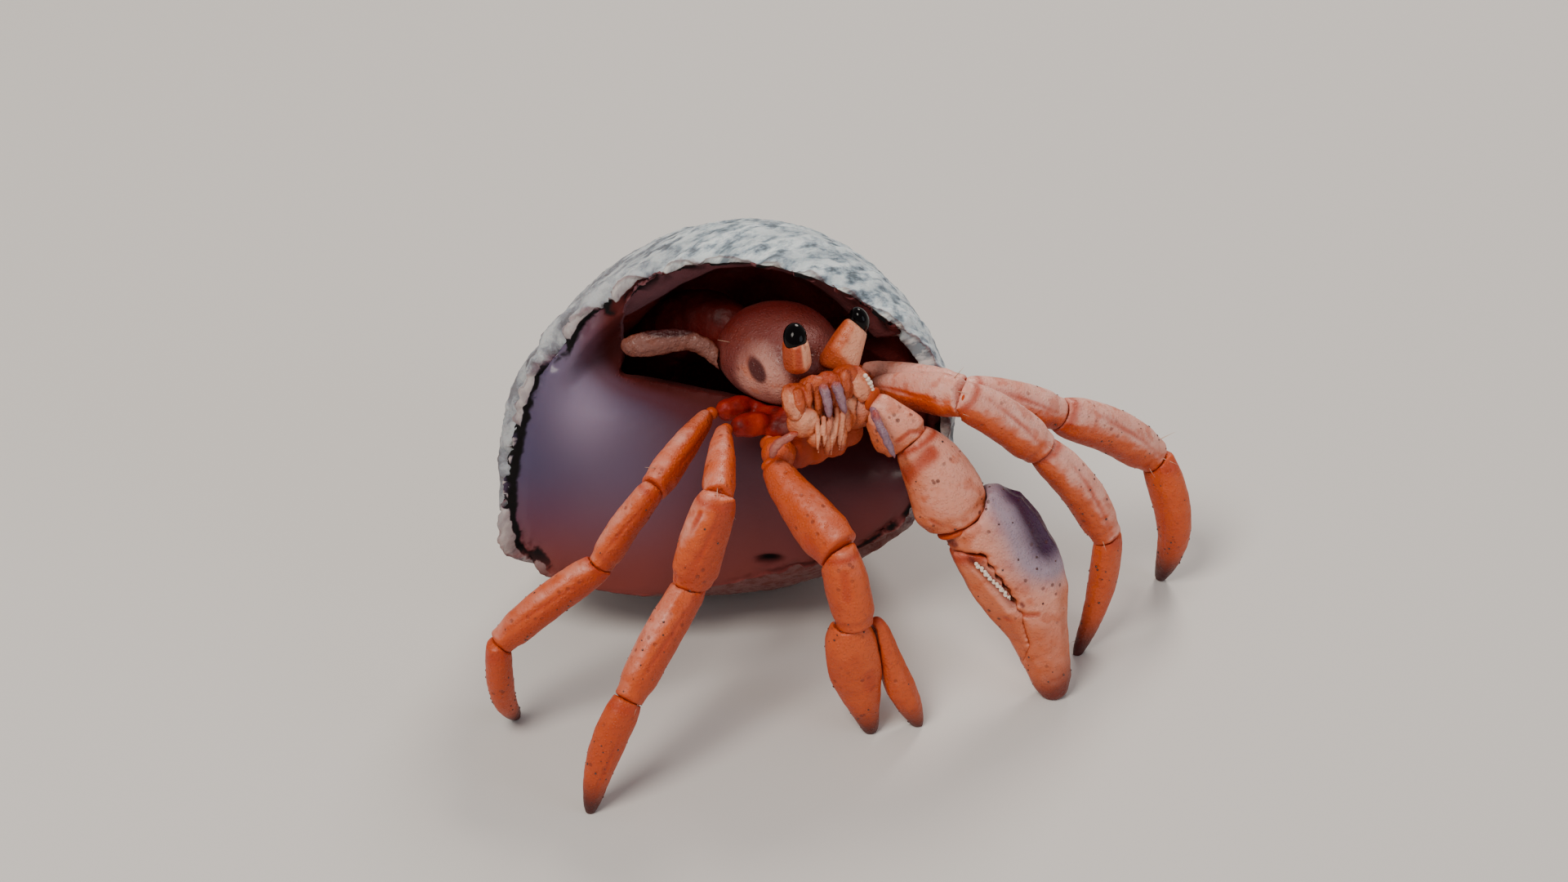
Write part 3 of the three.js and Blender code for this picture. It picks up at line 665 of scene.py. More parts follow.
def shapeSegment(mesh, node, start, end, kind, grooves, ripe):
    v = limbValues
    points, normals = meshPoints(mesh), meshNormals(mesh)
    along, angle = localFrame(points, start, end)
    isLast = kind == "dactyl"
    height = v["lumps"] * noiseAt(points, v["lumpSize"], seed=start[0])
    if not isLast:
        height += v["collarHeight"] * bell(along, v["collarAt"], 0.03)
        height -= v["waistDepth"] * bell(along, v["waistAt"], 0.04)
    crease = along * 0
    for groove in grooves:
        # a thin crease that runs slantwise down the segment
        bent = angle - groove - v["grooveSkew"] * (along - 0.5) - 0.06 * noiseAt(points, 1.5, seed=groove)
        turned = np.abs(np.arctan2(np.sin(bent), np.cos(bent)))
        crease = np.maximum(crease, bell(turned, 0, v["grooveWidth"]) * bell(along, 0.5, 0.3))
    crease = np.maximum(crease * 0.7, marked(node, points, "joint"))
    height -= v["grooveDepth"] * crease
    setPoints(mesh, points + normals * height[:, None])
    side = node.split("_")[0]
    # painted light: lit is paler on faces turned to the light direction and gives top, the painted highlight;
    # joint darkens both ends in the joints' own colour and the grooves as painted shade
    lit = smoothStep(meshNormals(mesh) @ np.array(v["light"][side]), *v["litFrom"][side])
    ends = bell(along, 0, 0.05) if isLast else bell(along, 0.0, 0.04) + bell(along, 1.0, 0.03)
    first, last = ripeness[kind]
    paint(mesh, top=lit * v["shine"][side] * (v["dactylTop"] if isLast else 1.0),
          joint=np.clip(ends * v["jointDark"] + crease, 0, 1),
          ripe=np.clip(first + (last - first) * along + ripe, 0, 1),
          tip=smoothStep(along, v["tipFrom"], v["tipTo"]) * v["tipDark"] if isLast else 0, blush=0)
    return along


def buildLeg(leg, seed):
    v = limbValues
    nodes = [f"{leg}_{part}" for part in segmentNames]
    joints = [jointBetween("trunk", nodes[0])]
    joints += [jointBetween(a, b) for a, b in zip(nodes, nodes[1:])]
    tip = cadPoints(nodes[-1])
    joints.append(tip[np.argmin(tip[:, 2])])
    limbJoints[leg] = joints
    side = -1 if leg.startswith("right") else 1
    for i, (node, kind) in enumerate(zip(nodes, segmentNames)):
        start, end = joints[i], joints[i + 1]
        mesh = remeshed(gathered(node, grow=v["grow"]), v["voxel"], v["smoothing"], levels=2)
        grooves = (0.9 * side, -1.5 * side) if kind in ("carpus", "propodus") else (1.2 * side,)
        along = shapeSegment(mesh, node, start, end, kind, grooves, paler.get(leg, 0.0))
        if kind in v["specks"]:
            where = smoothStep(along, 0.0, 0.5) * (1 - smoothStep(along, 0.85, 1.0))
            sowSpecks(mesh, where, seed + i, v["specks"][kind])
        where = bell(along, 0.95, 0.06) * (0.4 if kind == "dactyl" else 1)
        sowSetae(mesh, where, unit(end - start), seed + 10 + i, v["setae"])
        finishPiece(f"{node}_plate", mesh, legCuticle, [node])


for number, leg in enumerate(legNames):
    buildLeg(leg, number * 31)
print("walking legs ready")


# claws

clawValues = {
    "voxel": 0.07, "grow": 0.06, "smoothing": 5,
    "lumps": 0.05, "lumpSize": 1.4, "collarHeight": 0.05, "waistDepth": 0.04, "markDepth": 0.05,
    "tipFrom": {"big": 0.8, "small": 0.68}, "tipDark": 0.95, "jointDark": 0.9,
    "shine": {"big": 1.0, "small": 0.55}, "riper": {"big": 0.0, "small": 0.25},
    "lilacFrom": (0.6, 0.75, 0.97), "lilacTo": (0.79, 0.53, 0.78), "lilacReach": 1.85, "lilacDent": 0.35,
    "row": [(0.25, 0.25, 0.96), (0.37, 0.18, 0.9), (0.5, 0.13, 0.81), (0.63, 0.1, 0.73), (0.76, 0.12, 0.6)],
    "close": 0.075, "slitShade": 0.2, "teeth": 30, "teethFlow": (0.2, -0.9, 0.3),
}
clawParts = ("base", "merus", "carpus", "palm", "finger")
clawRipe = {"base": 0.7, "merus": 0.3, "carpus": 0.1, "palm": 0.05, "finger": 0.2}


def rowPlaces(shares):
    # the toothed part of the big claw's slit, at the given shares of its length
    row = np.array([placeIn("big_claw_finger", share) for share in clawValues["row"]])
    keys = np.linspace(0, 1, len(row))
    return np.array([[np.interp(share, keys, row[:, axis]) for axis in range(3)] for share in shares])


def shapeClawPart(side, part, node, start, end):
    v = clawValues
    isTip, isCut = part in ("palm", "finger"), side == "big" and part in ("palm", "finger")
    slit = rowPlaces(np.linspace(0, 1, 30))
    if isCut:
        # rounded well away from the slit, which keeps its own edges
        mesh = remeshed(gathered(node), v["voxel"], 3)
        away = np.linalg.norm(meshPoints(mesh)[:, None] - slit[None], axis=2).min(1)
        relax(mesh, 260, 0.504, 0.05 + 0.95 * smoothStep(away, 0.2, 0.9))
    else:
        mesh = remeshed(gathered(node, grow=v["grow"]), v["voxel"], v["smoothing"], levels=2)
    points, normals = meshPoints(mesh), meshNormals(mesh)
    along = localFrame(points, start, end)[0]
    height = v["lumps"] * noiseAt(points, v["lumpSize"], seed=3)
    if part in ("merus", "carpus"):
        height += v["collarHeight"] * bell(along, 0.95, 0.03) - v["waistDepth"] * bell(along, 0.86, 0.05)
    dark = smoothStep(along, v["tipFrom"][side], 1.0) * v["tipDark"] * isTip
    joint = bell(along, 0.0, 0.04) * (part != "palm") + bell(along, 1.0, 0.035) * (not isTip)
    ripe = clawRipe[part] + (0.45 * along ** 2 if isTip else 0.2 * along) + v["riper"][side]
    lilac = 0
    if isCut and part == "palm":
        # a painted greyish lilac reflection along the outer edge, with painted shade deepest in a shallow
        # dent
        away = fromLine(points, placeIn(node, v["lilacFrom"]), placeIn(node, v["lilacTo"]))
        lilac = np.exp(-(away / v["lilacReach"]) ** 2)
        height -= v["lilacDent"] * lilac ** 4
    # painted shade in the slit between palm and finger, put in with the dark tip colour
    if isCut:
        away = np.linalg.norm(points[:, None] - slit[None], axis=2).min(1)
        height += v["close"] * smoothStep(away, 0.2, 0.5)
        dark = np.maximum(dark, bell(away, 0, v["slitShade"]))
    marksHere = marked(node, points, "joint")
    height -= v["markDepth"] * marksHere
    setPoints(mesh, points + normals * height[:, None])
    normals = meshNormals(mesh)
    # top: a painted highlight on faces turned up and to the front
    paint(mesh, top=smoothStep(normals[:, 2] - 0.35 * normals[:, 1], -0.4, 1.0) * v["shine"][side],
          joint=np.clip(np.maximum(joint, marksHere), 0, 1) * v["jointDark"],
          tip=np.clip(np.maximum(dark, marked(node, points, "tip")), 0, 1),
          ripe=np.clip(np.maximum(ripe, marked(node, points, "ripe")), 0, 1), blush=lilac)
    return mesh, along


def buildClaw(side):
    names = [f"{side}_claw_{part}" for part in clawParts]
    joints = [jointBetween("trunk", names[0])]
    joints += [jointBetween(a, b) for a, b in zip(names[:3], names[1:4])]
    palm, finger = cadPoints(names[3]), cadPoints(names[4])
    joints.append(palm[np.argmin(palm[:, 2])])
    limbJoints[f"{side}_claw"] = joints
    hinge = finger[np.argmax(finger[:, 2])]
    for i, (part, node) in enumerate(zip(clawParts, names)):
        start, end = (joints[i], joints[i + 1]) if i < 4 else (hinge, joints[4])
        mesh, along = shapeClawPart(side, part, node, start, end)
        if i > 1:
            sowSpecks(mesh, 0.35 + 0.5 * smoothStep(along, 0.5, 0.9) * (i > 2), 200 + i, 1.6)
        if i == 2:
            sowSetae(mesh, bell(along, 0.95, 0.05), unit(end - start), 220 + i, 1.2)
        finishPiece(f"{node}_plate", mesh, clawCuticle if side == "big" else legCuticle, [node])


def buildTeeth():
    # a row of lime teeth along the slit between palm and finger
    places = rowPlaces(np.linspace(0.12, 0.95, clawValues["teeth"]))
    turns = np.arange(len(places)) * 1.9
    places += np.stack([0.05 * np.sin(turns), turns * 0 - 0.02, 0.03 * np.cos(turns)], axis=1)
    copies = grown(rowMesh(places, clawValues["teethFlow"]), rowNodes, Seed=4, Shape=beadShape,
                   Finish=limeTooth, Smallest=0.5, Largest=0.82)
    finishPiece("big_claw_teeth", copies, limeTooth)


buildClaw("big")
buildClaw("small")
buildTeeth()
print("claws ready")


# head

headValues = {
    "voxel": 0.045, "smoothing": 6, "grow": 0.035,
    "fingerVoxel": 0.04, "mouthFingers": 13, "fingerRadii": (0.12, 0.13, 0.09, 0.05),
    "lumps": 0.05, "partLumpSize": 0.35, "faceLumpSize": 0.5, "faceLitShare": 0.55,
    "beadsFrom": (0.75, 0.25, 0.95), "beadsTo": (0.98, 0.35, 0.05), "beads": 7,
    "stalkFeet": {"right": [((0.5, 0.45, 0.05), (0.6, 0.5, 0.3))],
                  "left": [((0.1, 0.35, 0.1), (0.55, 0.5, 0.4)), ((0.55, 0.3, 0.02), (0.5, 0.5, 0.4))]},
    "stripe": {"right": 0.9, "left": 0.25},
    "plates": {"right_maxilliped": [((0.35, 0.1, 0.55), (0.72, 0.4, 0.8)),
                                    ((0.75, 0.1, 0.1), (0.4, 0.3, 0.5))],
               "left_maxilliped": [((0.5, 0.1, 0.3), (0.4, 0.35, 0.7))]},
    # each lump's share of the way from right to left, its rise and its radii
    "faceLumps": [(0.0, 0.0, (0.65, 0.5, 0.65)), (0.3, 0.25, (0.7, 0.5, 0.5)), (0.55, 0.0, (0.7, 0.6, 0.7)),
                  (0.85, 0.15, (0.7, 0.5, 0.6)), (0.45, -0.7, (1.1, 0.6, 0.7))],
    # each plate's share of that way, its rise, length and thickness
    "browPlates": [(0.02, 0.4, 0.8, 0.27), (0.2, 0.6, 1.1, 0.16), (0.36, 0.35, 1.4, 0.19),
                   (0.5, 0.45, 1.0, 0.13), (0.66, 0.3, 1.3, 0.15), (0.82, 0.55, 0.9, 0.25),
                   (0.98, 0.35, 0.9, 0.17)],
}


def buildFacePart(node, material, blush=0.0, tipFrom=0.8, ripe=0.0, grow=0.035, shade=0.0,
                  creaseShade=0.6):
    v = headValues
    bm = gathered(node, grow=grow)
    for share, radii in v["plates"].get(node, []):
        addBall(bm, placeIn(node, share), radii, levels=3)
    mesh = remeshed(bm, v["voxel"], v["smoothing"], levels=2)
    points, normals = lumpy(mesh, v["lumps"], v["partLumpSize"], 5)
    down = (points[:, 2].max() - points[:, 2]) / np.ptp(points[:, 2])
    # painted light: top is a painted highlight on faces turned up and to the front; joint adds painted shade
    # in the creases and the given shade over the dark root
    paint(mesh, top=smoothStep(normals[:, 2] * 0.5 - normals[:, 1] * 0.7, -0.4, 1.15),
          joint=np.clip(bell(down, 0, 0.08) * 0.7 + hollows(mesh) * creaseShade + shade, 0, 1),
          ripe=np.clip(ripe + 0.4 * noiseAt(points, 0.5, 2), 0, 1),
          tip=smoothStep(down, tipFrom, 1.0) * 0.5, blush=blush)
    finishPiece(f"{node}_plate", mesh, material, [node])


def buildStalk(side):
    v = headValues
    node = f"{side}_eyestalk"
    bm = gathered(node, grow=v["grow"])
    for share, radii in v["stalkFeet"][side]:
        addBall(bm, placeIn(node, share), radii)
    drawRound(bm)
    mesh = remeshed(bm, v["voxel"], 4)
    relax(mesh, 30, 0.0)
    normals = meshNormals(mesh)
    # a deep orange stripe down the middle of the front; top is a painted highlight on the side turned to +x
    # and upward, and ripe deepens the orange on the side turned to -x
    across = normals[:, 0]
    front = smoothStep(-normals[:, 1], 0.1, 0.7)
    paint(mesh, top=smoothStep(across + normals[:, 2] * 0.4, -0.8, 0.9),
          ripe=smoothStep(-across, 0.0, 0.7) * 0.5,
          joint=bell(across, 0.05, 0.25) * front * v["stripe"][side], tip=0, blush=0)
    finishPiece(f"{node}_plate", mesh, faceCuticle, [node])


def buildFace():
    # the lumpy plate behind the mouthparts, under the eyestalks
    v = headValues
    right = placeIn("right_antenna_base", (0.6, 0.7, 0.55))
    left = placeIn("left_antenna_base", (0.4, 0.7, 0.55))
    bm = bmesh.new()
    for share, rise, radii in v["faceLumps"]:
        addBall(bm, right + (left - right) * share + np.array([0, 0, rise]), radii, levels=3)
    # narrow upright plates over it, each ending above the mouth
    for share, rise, length, thick in v["browPlates"]:
        top = right + (left - right) * share + np.array([0, -0.35, rise])
        low = top + np.array([0.25 * (0.5 - share) + 0.12 * math.sin(share * 17), -0.45, -length])
        addRod(bm, [top, (top + low) / 2 + (0, -0.1, 0), low], (thick, thick * 1.15, thick * 0.5))
    mesh = remeshed(bm, v["voxel"], v["smoothing"])
    points, normals = lumpy(mesh, v["lumps"], v["faceLumpSize"], 8)
    across = (points[:, 0] - (right + left)[0] / 2) / np.ptp(points[:, 0])
    # painted light: top is a painted highlight on faces turned up and to the front, scaled by faceLitShare;
    # the hollows add painted shade in the creases
    top = smoothStep(normals[:, 2] * 0.3 - normals[:, 1] * 0.7, 0.2, 0.8)
    paint(mesh, top=top * v["faceLitShare"], joint=np.clip(bell(across, 0.05, 0.06) * 0.6 + hollows(mesh), 0, 1),
          ripe=0.9, tip=0, blush=0)
    finishPiece("face_plate", mesh, faceCuticle)


def buildMouth():
    # small feeding fingers packed between the two big mouth plates
    v = headValues
    right = placeIn("right_maxilliped", (0.8, 0.0, 0.35))
    left = placeIn("left_maxilliped", (0.5, 0.0, 0.45))
    bm = bmesh.new()
    for k, share in enumerate(np.linspace(0, 1, v["mouthFingers"])):
        wobble = math.sin(k * 4.1)
        top = right + (left - right) * share
        top = top + np.array([0.05 * wobble, 0.18 * wobble, 0.3 + 0.25 * math.cos(k * 2.3)])
        reach = 1.1 + 0.45 * math.sin(k * 2.7 + 1)
        low = top + np.array([0.12 * wobble + 0.1 * (0.5 - share), -0.28, -reach])
        addRod(bm, [top, (top + low) / 2 + (0, -0.12, 0), low], v["fingerRadii"])
    mesh = remeshed(bm, v["fingerVoxel"], 3)
    points, normals = meshPoints(mesh), meshNormals(mesh)
    down = (points[:, 2].max() - points[:, 2]) / np.ptp(points[:, 2])
    # top: a painted highlight on faces turned up and to the front
    paint(mesh, top=smoothStep(normals[:, 2] * 0.5 - normals[:, 1] * 0.8, -0.4, 1.0),
          joint=(1 - smoothStep(down, 0.0, 0.3)) * 0.5,
          ripe=smoothStep(noiseAt(points, 0.5, 3), 0, 0.6) * 0.4, tip=bell(down, 0.85, 0.12) * 0.5, blush=0)
    finishPiece("mouth_fingers", mesh, faceCuticle)


def buildBeads():
    # pale saw beads down the outer edge of the left antenna's base
    v = headValues
    start, end = (placeIn("left_antenna_base", v[key]) for key in ("beadsFrom", "beadsTo"))
    places = [start + (end - start) * s + np.array([0.12 * math.sin(s * 3.1), 0, 0])
              for s in np.linspace(0, 1, v["beads"])]
    copies = grown(rowMesh(places, (0.8, -0.4, 0.2)), rowNodes, Seed=2, Shape=beadShape, Finish=limeTooth,
                   Smallest=0.7, Largest=1.1)
    finishPiece("antenna_beads", copies, limeTooth)


for side, feelerBlush, feelerShade in (("right", 0.4, 0.3), ("left", 0.85, 0.0)):
    buildFacePart(f"{side}_maxilliped", faceCuticle)
    buildFacePart(f"{side}_palp", faceCuticle, tipFrom=0.6, grow=-0.02)
    buildFacePart(f"{side}_antenna_base", faceCuticle, ripe=0.45)
    buildFacePart(f"{side}_antennule", faceCuticle, blush=0.8, grow=-0.02)
    buildFacePart(f"{side}_antenna", faceCuticle, blush=feelerBlush, grow=-0.06,
                  shade=feelerShade)
    buildFacePart(f"{side}_small_leg", shieldCuticle, ripe=1.0, shade=0.72, creaseShade=0.0)
    buildStalk(side)
    eye = remeshed(gathered(f"{side}_eye", grow=0.03), 0.04, 6, levels=2)
    finishPiece(f"{side}_eye_cornea", eye, cornea, [f"{side}_eye"])
buildFace()
buildMouth()
buildBeads()
print("head ready")


# shield

shieldValues = {
    "voxel": 0.08, "grow": 0.1, "smoothing": 6, "lumps": 0.04, "lumpSize": 1.2,
    "spotAt": (0.332, 0.107, 0.664), "spotReach": (0.42, 0.55), "spotLean": 0.5,
    "faceAt": (0.797, 0.059, 0.649), "faceReach": (0.78, 1.56),
    "paleAt": (0.38, 0.2, 0.52), "paleReach": (0.95, 1.2), "deepest": 0.9,
    "hairAt": (0.069, 0.437, 0.64), "hairReach": 0.5, "hairFlow": (-1, -0.3, 0.2), "hair": 3.0,
}


def buildShield():
    v = shieldValues
    mesh = remeshed(gathered("carapace", grow=v["grow"]), v["voxel"], v["smoothing"], levels=2)
    points, normals = lumpy(mesh, v["lumps"], v["lumpSize"], 9)
    off = points - placeIn("carapace", v["spotAt"])
    c, s = math.cos(v["spotLean"]), math.sin(v["spotLean"])
    spot = np.hypot((off[:, 0] * c + off[:, 2] * s) / v["spotReach"][0],
                    (off[:, 2] * c - off[:, 0] * s) / v["spotReach"][1])
    front = smoothStep(-normals[:, 1], -0.1, 0.3)
    # pale only in the middle of the cheek, dark red brown all round it, partly the shield's own colour and
    # partly painted shade under the shell's lip; joint darkens it towards the back, also as painted shade
    # under the lip
    off = points - placeIn("carapace", v["paleAt"])
    pale = np.hypot(off[:, 0] / v["paleReach"][0], off[:, 2] / v["paleReach"][1])
    pale += 0.1 * noiseAt(points, 0.8, 3)
    paint(mesh, blush=(1 - smoothStep(spot, 0.7, 1.15)) * front,
          ripe=1 - smoothStep(awayFrom(points, placeIn("carapace", v["faceAt"])), *v["faceReach"]),
          top=0.42 + 0.25 * noiseAt(points, 1.5, 4), joint=smoothStep(points[:, 1], 0.9, 2.6) * v["deepest"],
          tip=smoothStep(pale, 0.75, 1.5) * v["deepest"])
    hair = bell(awayFrom(points, placeIn("carapace", v["hairAt"])), 0, v["hairReach"])
    sowSetae(mesh, hair, v["hairFlow"], 300, v["hair"])
    finishPiece("carapace_shield", mesh, shieldCuticle, ["carapace"])


buildShield()
print("shield ready")


# soft parts: one skin for trunk and abdomen, and the membranes in the joints

softValues = {
    "voxel": 0.1, "smoothing": 6, "grow": 0.05, "folds": 0.08, "foldSize": 0.7, "sink": 0.03,
    # each throat fold's share of the way between the claws' roots, its rise and its radius
    "throat": [(0.0, -0.8, 0.75), (0.22, -0.95, 0.8), (0.45, -1.05, 0.85), (0.7, -1.1, 0.85),
               (0.95, -1.0, 0.8)],
    "throatBack": 0.5,
    "discVoxel": 0.06, "discShare": 0.66, "discHeight": 0.25, "discLeast": 0.3, "discMost": 1.1,
}


def buildSoftBody():
    v = softValues
    bm = gathered("trunk", "abdomen", grow=v["grow"])
    start, end = placeIn("small_claw_base", (0.6, 0.4, 0.7)), placeIn("big_claw_base", (0.3, 0.4, 0.35))
    for share, rise, radius in v["throat"]:
        middle = start + (end - start) * share + np.array([0, v["throatBack"], rise])
        addBall(bm, middle, (radius, radius * 0.8, radius), levels=3)
    mesh = remeshed(bm, v["voxel"], v["smoothing"], levels=2)
    points, normals = meshPoints(mesh), meshNormals(mesh)
    folds = noiseAt(points * (1, 1, 0.5), v["foldSize"], 6)
    setPoints(mesh, points + normals * (v["folds"] * folds - v["sink"])[:, None])
    fresh = smoothStep(points[:, 0], -3.2, -1.0) * (1 - smoothStep(points[:, 1], -0.5, 1))
    paint(mesh, blush=smoothStep(points[:, 1], 1.0, 3.5) * 0.8, fresh=fresh)
    finishPiece("soft_body", mesh, membrane, ["trunk", "abdomen"])


def buildMembranes():
    # a thin disc of skin closes each joint, inside the rims of the plates
    v = softValues
    bm = bmesh.new()
    for limb, places in limbJoints.items():
        parts = segmentNames if "leg" in limb else clawParts
        for i, place in enumerate(places[:-1]):
            along = unit(places[i + 1] - places[i - 1]) if i else unit(places[1] - places[0])
            off = cadPoints(f"{limb}_{parts[i]}") - place
            near = np.abs(off @ along) < 0.8
            beside = np.linalg.norm(off - np.outer(off @ along, along), axis=1)
            reach = v["discShare"] * (np.median(beside[near]) if near.any() else 0.5)
            reach = min(max(reach, v["discLeast"]), v["discMost"])
            addBall(bm, place, (reach, reach, v["discHeight"]), turnTo(along), 3)
    mesh = remeshed(bm, v["discVoxel"], 4)
    paint(mesh, blush=0, fresh=1)
    finishPiece("joint_membranes", mesh, membrane)


def buildGrowths():
    # setae and dark specks, gathered from all pieces
    for kind, material, slotName in (("setae", seta, "leg_cuticle"), ("specks", spine, "tip_cuticle")):
        bm = bmesh.new()
        for mesh in growths[kind]:
            bm.from_mesh(mesh)
        mesh = meshFrom(bm, kind)
        print(kind, len(mesh.polygons))
        finishPiece(f"cuticle_{kind}", mesh, material)


buildSoftBody()
buildMembranes()
buildGrowths()
print("soft parts ready")


# shell

shellValues = {
    "voxel": 0.162, "smoothing": 12,
    "faceAt": (0.506, 0.152, 0.62),     # middle of the mouth, as shares of the shell's box
    "heartAside": (-0.6, -0.6),         # from there to the point that the outline is drawn round
    "lean": 15,
    "apexAt": (0.185, 0.86, 0.32),      # where the whorls start, as shares of the box
    "axis": (-0.68, 0.727, -0.094), "whorlRise": 2.6, "poleDepth": 6.5,
    "cords": 20, "cordHeight": 0.07, "lines": 46, "lineHeight": 0.025, "wear": 0.05,
    "holeAt": (0.6, 0.16, 0.72),
    "rollDepth": 2.2, "rollReach": 2.1, "holeShadeReach": 1.3,
    "lipWidth": 0.34, "lipWave": 0.5, "scallop": 0.2, "rimWave": 0.3, "rimOut": 0.35, "bevel": 1.3,
    "bumpRate": 1.5, "grooveDepth": 0.5, "grooveWidth": 0.3,
    "bloomAt": (0.189, 0.152, 0.657), "bloomReach": 2.1,
    "notchAt": (0.591, 0.028, 0.27), "notchReach": (0.6, 0.22), "notchDepth": 0.35,
}


def shellFrame(points):
    # polar place in the mouth's plane, and depth behind it
    v = shellValues
    lean = math.radians(v["lean"])
    faceUp = np.array([0, math.sin(lean), math.cos(lean)])
    outward = np.array([0, -math.cos(lean), math.sin(lean)])
    off = points - placeIn("shell", v["faceAt"])
    x = off[:, 0] - v["heartAside"][0]
    y = off @ faceUp - v["heartAside"][1]
    return np.arctan2(y, x), np.hypot(x, y), off @ outward, outward, faceUp


def roundedOutline(angle, radius, wanted, bins, least=False):
    # the largest or least radius in each direction, smoothed, at every point's angle
    index = ((angle + math.pi) / (2 * math.pi) * bins).astype(int) % bins
    edge = np.zeros(bins)
    for b in range(bins):
        found = radius[wanted & (index == b)]
        if len(found):
            edge[b] = found.min() if least else found.max()
    for b in range(bins):
        if edge[b] == 0:
            edge[b] = edge[b - 1]
    edge = (np.roll(edge, 1) + edge + np.roll(edge, -1)) / 3
    place = (angle + math.pi) / (2 * math.pi) * bins - 0.5
    return np.interp(place, np.arange(-1, bins + 1), np.concatenate([edge[-1:], edge, edge[:1]]))


def buildShell():
    v = shellValues
    mesh = remeshed(gathered("shell"), v["voxel"], v["smoothing"])
    points, normals = meshPoints(mesh), meshNormals(mesh)
    angle, radius, depth, outward, faceUp = shellFrame(points)
    rimHere = roundedOutline(angle, radius, depth > -0.7, 72)
    inward = rimHere - radius
    faceOn = normals @ outward

    toward = points - placeIn("shell", (0.5, 0.45, 0.5))
    outness = (toward * normals).sum(1) / np.linalg.norm(toward, axis=1)
    mouth = smoothStep(inward, 0.7, 1.1) * smoothStep(depth, -3.6, -2.8)
    outer = smoothStep(outness, 0.0, 0.35) * (1 - smoothStep(faceOn, 0.5, 0.8)) * (1 - mouth)
    level = smoothStep(faceOn, 0.5, 0.85) * smoothStep(depth, -1.6, -0.9)

    # how far each point is past the opening's edge, seen from its own middle
    off = points - placeIn("shell", v["holeAt"])
    holeAngle, holeRadius = np.arctan2(off @ faceUp, off[:, 0]), np.hypot(off[:, 0], off @ faceUp)
    holeEdge = roundedOutline(holeAngle, holeRadius, (level > 0.8) & (depth > -0.5), 60, least=True)
    beyond = np.maximum(holeRadius - holeEdge, 0)

    # place on the whorls: round the axis, and away from its pole
    axis = unit(v["axis"])
    fromApex = points - placeIn("shell", v["apexAt"])
    fromPole = fromApex + axis * v["poleDepth"]
    polar = np.arccos(np.clip(fromPole @ axis / np.linalg.norm(fromPole, axis=1), -1, 1))
    side = unit(np.cross(axis, [0, 0, 1]))
    spin = np.arctan2(fromApex @ np.cross(axis, side), fromApex @ side)
    reach = np.maximum(np.linalg.norm(fromApex, axis=1), 0.5)
    growth = spin + np.log(reach) / (math.log(v["whorlRise"]) / (2 * math.pi))

    # how strongly the lip is built: thick and bumpy on the left, thin at the top and right
    leftness = smoothStep(-np.cos(angle), -0.1, 0.75)
    lowness = smoothStep(-np.sin(angle + 0.25), 0.2, 0.6) * smoothStep(-points[:, 2], -5.5, -3.5)
    cordPhase = polar / math.pi * v["cords"] * 2 * math.pi
    worn = noiseAt(points, 0.55, 4)
    broken = 0.6 + 0.4 * noiseAt(points, 1.8, 2)
    bumps = 0.5 + 0.5 * np.cos(cordPhase * v["bumpRate"] + 1.2 * worn)
    pastLip = inward - v["lipWidth"] - v["lipWave"] * (bumps - 0.5) * (0.35 + leftness)
    onFace = smoothStep(depth, -1.5, -0.8) * (1 - lowness)
    lip = smoothStep(-pastLip, -0.08, 0.08) * onFace * smoothStep(faceOn, 0.1, 0.5)
    groove = bell(pastLip, 0.25, v["grooveWidth"]) * onFace * (0.25 + 0.75 * smoothStep(1 - bumps, 0.2, 0.7))

    height = outer * (v["cordHeight"] * (0.5 + 0.5 * np.cos(cordPhase)) * broken
                      + v["lineHeight"] * np.cos(growth * v["lines"]) + v["wear"] * worn)
    height += lip * (v["scallop"] * (bumps - 0.4) * (0.3 + 0.7 * leftness) + 0.04 * worn)
    height -= groove * v["grooveDepth"]
    nearRim = bell(inward, 0, 0.8) * smoothStep(depth, -2.2, -0.6) * (1 - lowness)
    wave = (v["rimWave"] * (bumps - 0.6) * (0.25 + 0.75 * leftness) + v["rimOut"] * leftness) * nearRim
    # the inner wall slopes in behind the lip, most at the upper left and at the right
    bevel = smoothStep(-depth, 0.3, 2.6) * (1 - level) * (1 - outer) * smoothStep(inward, 0.1, 0.5)
    wave -= v["bevel"] * bevel * (bell(angle, 2.1, 0.75) + 0.9 * bell(angle, 0.55, 0.5))
    ray = toward - np.outer(toward @ outward, outward)
    ray /= np.linalg.norm(ray, axis=1)[:, None]
    # the deck rolls down into the opening
    roll = v["rollDepth"] * np.exp(-(beyond / v["rollReach"]) ** 2) * np.clip(1 + depth / 5, 0, 1)
    roll *= smoothStep(inward, 0.9, 2.2)
    notch = points - placeIn("shell", v["notchAt"])
    notchAway = np.hypot(notch[:, 0] / v["notchReach"][0], (notch @ faceUp) / v["notchReach"][1])
    notchHere = np.exp(-notchAway ** 4) * smoothStep(depth, -2.5, -1.5)
    sink = roll + v["notchDepth"] * notchHere
    setPoints(mesh, points + normals * height[:, None] - outward * sink[:, None] + ray * wave[:, None])

    # painted shade: edge darkens the deck where it rolls down into the opening
    edge = np.exp(-(beyond / v["holeShadeReach"]) ** 2) * (1 - outer) * smoothStep(depth, -4.5, -2.5)
    # band: a mauve band on the inner wall just behind the lip, partly the wall's own colour and partly
    # painted light where the wall lies in shadow
    wavy = 0.5 * noiseAt(points, 2.0, 11)
    band = smoothStep(depth, -2.6 + wavy, -2.1 + wavy) * (1 - outer) * (1 - level) * (1 - mouth * level)
    band *= (1 - 0.3 * edge) * smoothStep(inward, 3.2, 2.2) * smoothStep(np.sin(angle + 0.3), 0.0, 0.4)
